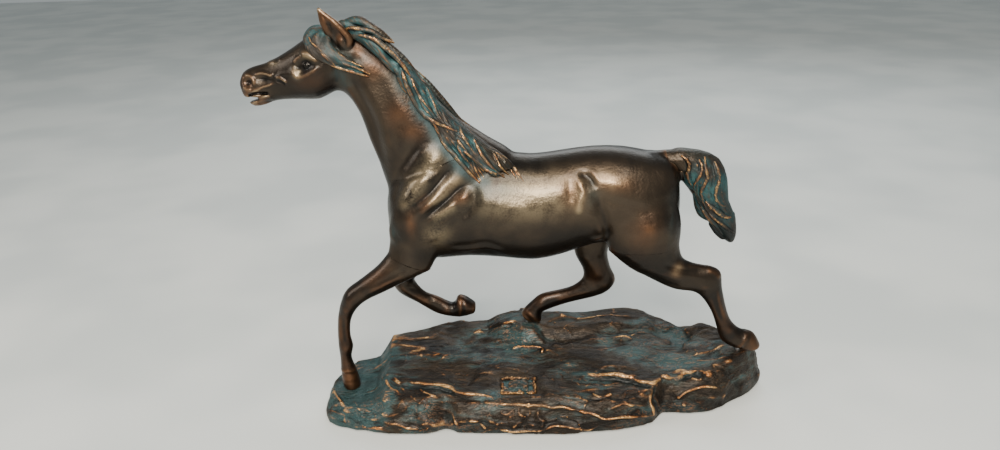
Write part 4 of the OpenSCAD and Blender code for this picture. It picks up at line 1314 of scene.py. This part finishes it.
def hair_paint(points):
    x, z = points[:, 0], points[:, 2]
    tail = x > 90
    root = ease((121 - x) / 9) * ease((z - 160) / 8)
    root = np.maximum(root, 0.9 * ease((z - 169) / 6) * ease((142 - x) / 10)) * tail
    tuft = ease((130 - z) / 9) * tail
    crest_line = 254 - 1.2 * (x + 70)
    crest = ease((z - crest_line + 9) / 7) * ease((x + 104) / 8) * ~tail
    return {"brown": np.maximum(root, 0.85 * crest), "tuft": tuft}


def rock_paint(points):
    """Green on the left slab and in the plaque, and painted shade on the foot of the front wall."""
    low, high = box_of("plaque")
    inset = np.minimum(points[:, :2] - low[:2], high[:2] - points[:, :2]).min(1)
    # painted shade: the front wall darker towards its foot
    wall = ease((17 - points[:, 2]) / 8) * ease((points[:, 0] + 80) / 20)
    return {"slab": np.maximum(ease((-82 - points[:, 0]) / 12), ease((inset - 1.5) / 1.5)),
            "wall": wall}


# ------------------------------------------------------------------ materials
class Graph:
    """Short calls for building one procedural material."""

    def __init__(self, name):
        self.material = bpy.data.materials.new(name)
        self.material.use_nodes = True
        self.tree = self.material.node_tree
        self.shader = self.tree.nodes["Principled BSDF"]
        self.place = self.node("ShaderNodeTexCoord").outputs["Object"]

    def node(self, kind, **settings):
        node = self.tree.nodes.new(kind)
        for key, value in settings.items():
            setattr(node, key, value)
        return node

    def feed(self, socket, value):
        if isinstance(value, bpy.types.NodeSocket):
            self.tree.links.new(value, socket)
        elif socket.type == "RGBA":
            socket.default_value = (*value, 1)
        else:
            socket.default_value = value

    def set(self, **values):
        """Values or links for the shader's sockets, by name."""
        for key, value in values.items():
            self.feed(self.shader.inputs[key.replace("_", " ")], value)

    def math(self, operation, a, b=0.0):
        node = self.node("ShaderNodeMath", operation=operation)
        self.feed(node.inputs[0], a)
        self.feed(node.inputs[1], b)
        return node.outputs[0]

    def times(self, a, b):
        return self.math("MULTIPLY", a, b)

    def plus(self, a, b):
        return self.math("ADD", a, b)

    def swing(self, value, amount):
        """A value's swing to either side of a half, times amount."""
        return self.times(self.math("SUBTRACT", value, 0.5), amount)

    def rise(self, value, low, high):
        """0 below low, 1 above high, smooth between."""
        node = self.node("ShaderNodeMapRange", interpolation_type="SMOOTHSTEP")
        self.feed(node.inputs["Value"], value)
        node.inputs["From Min"].default_value = low
        node.inputs["From Max"].default_value = high
        return node.outputs["Result"]

    def fall(self, value, low, high):
        """1 below low, 0 above high, smooth between."""
        return self.math("SUBTRACT", 1.0, self.rise(value, low, high))

    def tint(self, share, a, b):
        """Colour a, turning to colour b as share goes to 1."""
        node = self.node("ShaderNodeMix", data_type="RGBA")
        self.feed(node.inputs["Factor"], share)
        self.feed(node.inputs[6], a)
        self.feed(node.inputs[7], b)
        return node.outputs[2]

    def turn(self, share, a, b):
        """Number a, turning to number b as share goes to 1."""
        node = self.node("ShaderNodeMix", data_type="FLOAT")
        self.feed(node.inputs["Factor"], share)
        self.feed(node.inputs[2], a)
        self.feed(node.inputs[3], b)
        return node.outputs[0]

    def noise(self, size, detail=3.0, stretch=(1, 1, 1), shift=0.0, warp=0.0, lean=0):
        """Noise with features of about size mm, longer where stretch is above 1.

        The stretched axis may lean by some degrees about Y.
        """
        turned = self.node("ShaderNodeMapping")
        self.feed(turned.inputs["Vector"], self.place)
        turned.inputs["Rotation"].default_value = (0, math.radians(lean), 0)
        mapping = self.node("ShaderNodeMapping")
        self.feed(mapping.inputs["Vector"], turned.outputs["Vector"])
        mapping.inputs["Scale"].default_value = [1 / (size * MM * s) for s in stretch]
        mapping.inputs["Location"].default_value = (shift, shift, shift)
        noise = self.node("ShaderNodeTexNoise")
        self.feed(noise.inputs["Vector"], mapping.outputs["Vector"])
        noise.inputs["Scale"].default_value = 1.0
        noise.inputs["Detail"].default_value = detail
        noise.inputs["Distortion"].default_value = warp
        return noise.outputs["Fac"]

    def mark(self, name):
        return self.node("ShaderNodeAttribute", attribute_name=name).outputs["Fac"]

    def bump(self, height, depth, under=None):
        """Normal raised by height (0 to 1) times depth mm."""
        node = self.node("ShaderNodeBump")
        node.inputs["Distance"].default_value = depth * MM
        self.feed(node.inputs["Height"], height)
        if under is not None:
            self.feed(node.inputs["Normal"], under)
        return node.outputs["Normal"]


DARK = (0.005, 0.0042, 0.0038)
UMBER = (0.019, 0.0145, 0.011)
BROWN = (0.044, 0.031, 0.0205)
COPPER = (0.30, 0.125, 0.05)
ORANGE = (0.42, 0.17, 0.055)
GOLD = (0.58, 0.34, 0.14)
PALE_GOLD = (0.40, 0.31, 0.19)
VERDIGRIS = (0.010, 0.033, 0.036)
LIGHT_VERDIGRIS = (0.022, 0.078, 0.082)
DEEP_VERDIGRIS = (0.004, 0.010, 0.012)


def horse_material():
    """Dark brown bronze, rubbed to copper, with pale gold that is partly a painted highlight,
    painted shade low down and green in hollows.
    """
    g = Graph("horse_bronze")
    fine, middle = g.mark("fine"), g.mark("middle")
    drift = g.noise(34, 3, shift=3.1)
    mottle = g.noise(9, 3, shift=7.7)
    speck = g.noise(1.1, 3, shift=1.3)
    colour = g.tint(g.rise(drift, 0.38, 0.62), UMBER, BROWN)
    # painted shade: darkens the colour where the painted shade map lies
    colour = g.tint(g.times(g.mark("painted_shade"), 0.75), colour, DARK)
    worn = g.plus(middle, g.swing(mottle, 0.5))
    colour = g.tint(g.times(g.rise(worn, 0.15, 0.75), 0.25), colour, COPPER)
    rubbed = g.times(g.mark("rub"), g.turn(mottle, 0.35, 1.0))
    colour = g.tint(g.times(rubbed, 0.42), colour, COPPER)
    # pale gold, part gold rub and part painted highlight on the lit barrel, shoulder and hip
    gilt_and_highlight = g.times(g.mark("gilt_and_highlight"), g.rise(g.plus(mottle, g.times(speck, 0.5)), 0.40, 0.95))
    colour = g.tint(g.times(gilt_and_highlight, 0.55), colour, PALE_GOLD)
    edge = g.rise(g.plus(fine, g.swing(speck, 0.14)), 0.14, 0.44)
    colour = g.tint(g.times(edge, 0.42), colour, PALE_GOLD)
    sunk = g.math("MAXIMUM", g.fall(fine, -0.22, -0.03), g.fall(middle, -0.5, -0.08))
    sunk = g.math("MAXIMUM", sunk, g.mark("pupil"))
    colour = g.tint(g.times(sunk, 0.88), colour, DARK)
    green = g.times(g.mark("teal"), g.rise(g.plus(mottle, g.times(speck, 0.3)), 0.35, 0.75))
    green = g.times(green, g.fall(fine, 0.05, 0.2))
    colour = g.tint(green, colour, VERDIGRIS)
    rough = g.plus(g.turn(gilt_and_highlight, 0.38, 0.34), g.swing(mottle, 0.2))
    rough = g.turn(g.mark("pupil"), g.turn(green, rough, 0.55), 0.12)
    hammered = g.bump(g.noise(7, 2, shift=4.4), 0.34)
    grain = g.bump(g.noise(1.5, 3, shift=9.2), 0.16, hammered)
    g.set(Base_Color=colour, Metallic=g.turn(green, 0.9, 0.35), Roughness=rough, Normal=grain,
          Coat_Weight=0.2, Coat_Roughness=0.25)
    return g.material


def hair_material():
    """Green and brown patina in the hollows of the hair, gold on its ridges."""
    g = Graph("hair_patina")
    fine = g.mark("fine")
    mottle = g.noise(4, 4, shift=2.2)
    drift = g.noise(13, 3, stretch=(2.0, 1, 1), shift=5.5, lean=-54)
    lines = g.noise(1.2, 3, stretch=(9, 1, 1), shift=1.4, warp=0.8, lean=-54)
    speck = g.noise(0.9, 3, shift=6.3)
    colour = g.tint(g.rise(drift, 0.34, 0.52), UMBER, VERDIGRIS)
    colour = g.tint(g.times(g.rise(drift, 0.46, 0.62), g.rise(mottle, 0.3, 0.6)), colour,
                    LIGHT_VERDIGRIS)
    brown = g.times(g.mark("brown"), g.turn(mottle, 0.75, 1.0))
    colour = g.tint(brown, colour, BROWN)
    proud = g.plus(fine, g.swing(lines, 0.9))
    colour = g.tint(g.times(g.rise(proud, 0.05, 0.20), 0.75), colour, BROWN)
    edge = g.rise(g.plus(proud, g.swing(speck, 0.14)), 0.22, 0.44)
    edge = g.times(edge, g.fall(g.mark("tuft"), 0.2, 0.9))
    edge = g.times(edge, g.turn(g.rise(g.noise(2.6, 3, shift=7.4), 0.36, 0.56), 0.25, 1.0))
    colour = g.tint(g.times(edge, 0.85), colour, g.tint(g.rise(mottle, 0.4, 0.6), COPPER, GOLD))
    sunk = g.fall(g.plus(fine, g.swing(lines, 0.3)), -0.26, -0.06)
    colour = g.tint(g.times(sunk, 0.9), colour, DEEP_VERDIGRIS)
    colour = g.tint(g.times(g.mark("tuft"), 0.85), colour, DARK)
    grain = g.bump(lines, 0.5)
    metal = g.math("MAXIMUM", edge, brown)
    g.set(Base_Color=colour, Metallic=g.turn(metal, 0.5, 0.95),
          Roughness=g.turn(metal, g.turn(mottle, 0.42, 0.60), 0.30), Normal=grain,
          Coat_Weight=0.1, Coat_Roughness=0.3)
    return g.material


def rock_material():
    """Umber and green patina, worn to orange and gold on the rock's edges, with painted shade on the
    foot of the front wall.
    """
    g = Graph("rock_bronze")
    fine, middle = g.mark("fine"), g.mark("middle")
    streak = g.noise(7, 4, stretch=(2.8, 1, 0.8), shift=1.7, warp=0.8)
    patch = g.noise(24, 3, stretch=(1.7, 1, 1), shift=8.3)
    speck = g.noise(1.3, 4, shift=4.8)
    wrinkle = g.noise(3.4, 3, stretch=(3.2, 1, 1), shift=6.1, warp=1.6)
    crease = g.math("ABSOLUTE", g.math("SUBTRACT", wrinkle, 0.5))
    colour = g.tint(g.rise(streak, 0.35, 0.62), UMBER, BROWN)
    moist = g.plus(g.swing(patch, 2.4),
                   g.swing(streak, 1.4))
    moist = g.plus(moist, g.times(g.mark("slab"), 0.55))
    moist = g.plus(moist, g.times(middle, -0.5))
    green = g.rise(moist, -0.15, 0.45)
    colour = g.tint(g.times(green, 0.8), colour, g.tint(speck, VERDIGRIS, LIGHT_VERDIGRIS))
    # painted shade: the foot of the front wall darkened
    colour = g.tint(g.times(g.mark("wall"), 0.6), colour, DARK)
    proud = g.plus(fine, g.swing(streak, 0.26))
    proud = g.plus(proud, g.swing(speck, 0.22))
    rust = g.math("MAXIMUM", g.times(g.rise(proud, 0.08, 0.30), 0.6),
                  g.times(g.fall(crease, 0.003, 0.02), g.rise(patch, 0.48, 0.62)))
    colour = g.tint(g.times(rust, 0.5), colour, COPPER)
    edge = g.rise(proud, 0.18, 0.42)
    colour = g.tint(g.times(edge, 0.9), colour, g.tint(g.rise(streak, 0.4, 0.6), ORANGE, GOLD))
    sunk = g.math("MAXIMUM", g.fall(fine, -0.26, -0.04), g.fall(middle, -0.8, -0.15))
    colour = g.tint(g.times(sunk, 0.85), colour, DARK)
    rough = g.turn(edge, g.turn(streak, 0.40, 0.62), 0.34)
    coarse = g.bump(streak, 0.9)
    wrinkled = g.bump(g.rise(crease, 0.0, 0.12), 0.35, coarse)
    grain = g.bump(speck, 0.16, wrinkled)
    g.set(Base_Color=colour, Metallic=g.turn(g.times(green, g.fall(edge, 0.2, 0.8)), 0.85, 0.4),
          Roughness=rough, Normal=grain, Coat_Weight=0.1, Coat_Roughness=0.3)
    return g.material


def metal_material(name, bright, dull, rough, stretch=(1, 1, 1)):
    """Plain machined or drawn metal with a little tarnish."""
    g = Graph(name)
    tarnish = g.noise(3, 4, shift=2.9)
    lines = g.noise(0.7, 2, stretch=stretch, shift=5.1)
    g.set(Base_Color=g.tint(g.rise(tarnish, 0.42, 0.66), bright, dull), Metallic=1.0,
          Roughness=g.turn(tarnish, rough - 0.08, rough + 0.12), Normal=g.bump(lines, 0.03))
    return g.material


def board_material():
    """Tempered hardboard: brown pressed fibre with a sheen on its face."""
    g = Graph("hardboard")
    fibre = g.noise(0.8, 5, stretch=(3, 3, 1), shift=3.3, warp=1.2)
    cloud = g.noise(18, 3, shift=6.6)
    colour = g.tint(g.rise(fibre, 0.35, 0.65), (0.10, 0.052, 0.026), (0.21, 0.12, 0.062))
    colour = g.tint(g.times(g.rise(cloud, 0.4, 0.6), 0.4), colour, (0.12, 0.07, 0.04))
    g.set(Base_Color=colour, Roughness=g.turn(fibre, 0.5, 0.7), Normal=g.bump(fibre, 0.08))
    return g.material


def felt_material():
    """Dark green pressed felt with loose fibres."""
    g = Graph("felt")
    fibre = g.noise(0.5, 6, stretch=(2, 1, 1), shift=1.9, warp=2.5)
    tuft = g.noise(2.6, 4, shift=7.1)
    colour = g.tint(g.rise(fibre, 0.35, 0.65), (0.012, 0.030, 0.020), (0.034, 0.070, 0.048))
    colour = g.tint(g.times(g.rise(tuft, 0.45, 0.65), 0.4), colour, (0.05, 0.09, 0.065))
    fuzz = g.bump(fibre, 0.22)
    g.set(Base_Color=colour, Roughness=0.95, Normal=g.bump(tuft, 0.25, fuzz), Sheen_Weight=0.3)
    return g.material


def dress(node, material):
    """Gives a CAD node that stays as it is its finished material."""
    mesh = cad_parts[node].data
    mesh.materials.clear()
    mesh.materials.append(material)


FINISHES = {        # material and painted marks of each slot that is sculpted again
    "horse_bronze": (horse_material(), body_paint),
    "hair_patina": (hair_material(), hair_paint),
    "rock_bronze": (rock_material(), rock_paint),
}
BRASS = metal_material("brass_rod", (0.62, 0.42, 0.17), (0.33, 0.2, 0.08), 0.34, (1, 1, 6))
STEEL = metal_material("zinc_steel", (0.52, 0.53, 0.55), (0.30, 0.30, 0.31), 0.36, (6, 1, 1))

for rod in ("neck_dowels", "head_dowel", "leg_dowels", "tail_dowel", "mane_pins"):
    dress(rod, BRASS)
for fastener in ("mounting_studs", "stud_washers", "stud_nuts", "plate_screws"):
    dress(fastener, STEEL)
dress("base_plate", board_material())
dress("felt_pad", felt_material())

# ------------------------------------------------------------------ pieces
SKIN = fuse_skin(SKIN_NODES, 0.6)
SIDES = body_relief()

make_torso()
make_neck()
make_head()
for leg in LEG_SIDE:
    make_leg(leg)
make_mane()
make_forelock()
make_tail()
make_rock()
make_plaque()


# ------------------------------------------------------------------ stage
def make_camera():
    """The photo's camera: where it looks, how steeply, from how far and its roll."""
    data = bpy.data.cameras.new("camera")
    data.lens = 27
    data.sensor_width = 36
    camera = bpy.data.objects.new("camera", data)
    bpy.context.scene.collection.objects.link(camera)
    down, roll = math.radians(23), math.radians(-1.9)
    target, away = Vector((-9, 0, 128)) * MM, 510 * MM
    back = Vector((0, -math.cos(down), math.sin(down)))
    camera.location = target + back * away
    turn = (-back).to_track_quat("-Z", "Y")
    camera.rotation_mode = "QUATERNION"
    camera.rotation_quaternion = turn @ Quaternion((0, 0, 1), roll)
    bpy.context.scene.camera = camera


def make_floor():
    """A pale cloth under the statue."""
    half = 3.0
    corners = [(-half, -half, 0), (half, -half, 0), (half, half, 0), (-half, half, 0)]
    mesh = bpy.data.meshes.new("floor")
    mesh.from_pydata(corners, [], [(0, 1, 2, 3)])
    floor = bpy.data.objects.new("floor", mesh)
    bpy.context.scene.collection.objects.link(floor)
    g = Graph("floor_cloth")
    weave = g.noise(1.0, 3, shift=2.0)
    wide = g.noise(160, 2, shift=5.0)
    colour = g.tint(g.rise(wide, 0.35, 0.65), (0.56, 0.59, 0.58), (0.66, 0.68, 0.66))
    g.set(Base_Color=colour, Roughness=0.6, Normal=g.bump(weave, 0.05))
    floor.data.materials.append(g.material)


def make_light(name, place, aim, size, power, colour):
    """A rectangular area light at a place, aimed at a point."""
    data = bpy.data.lights.new(name, "AREA")
    data.shape = "RECTANGLE"
    data.size, data.size_y = size
    data.energy = power
    data.color = colour
    light = bpy.data.objects.new(name, data)
    light.location = place
    light.rotation_mode = "QUATERNION"
    light.rotation_quaternion = (Vector(aim) - Vector(place)).to_track_quat("-Z", "Y")
    bpy.context.scene.collection.objects.link(light)


def make_world():
    """Pale daylight from all round."""
    world = bpy.data.worlds.new("world")
    world.use_nodes = True
    background = world.node_tree.nodes["Background"]
    background.inputs["Color"].default_value = (0.80, 0.87, 0.88, 1)
    background.inputs["Strength"].default_value = 0.4
    bpy.context.scene.world = world


make_camera()
make_floor()
make_world()
make_light("ceiling", (0.05, -0.72, 1.1), (0, 0, 0.15), (0.8, 0.3), 12, (1, 0.92, 0.80))
make_light("front", (-0.05, -1.15, 0.78), (0, 0, 0.15), (0.5, 0.3), 22, (1, 0.94, 0.83))
make_light("left", (-1.1, -0.35, 0.7), (-0.05, 0, 0.16), (0.4, 0.5), 5, (1, 0.95, 0.88))
make_light("back", (0.3, 0.9, 0.9), (0, 0, 0.15), (1.2, 0.5), 8, (0.9, 0.97, 1))
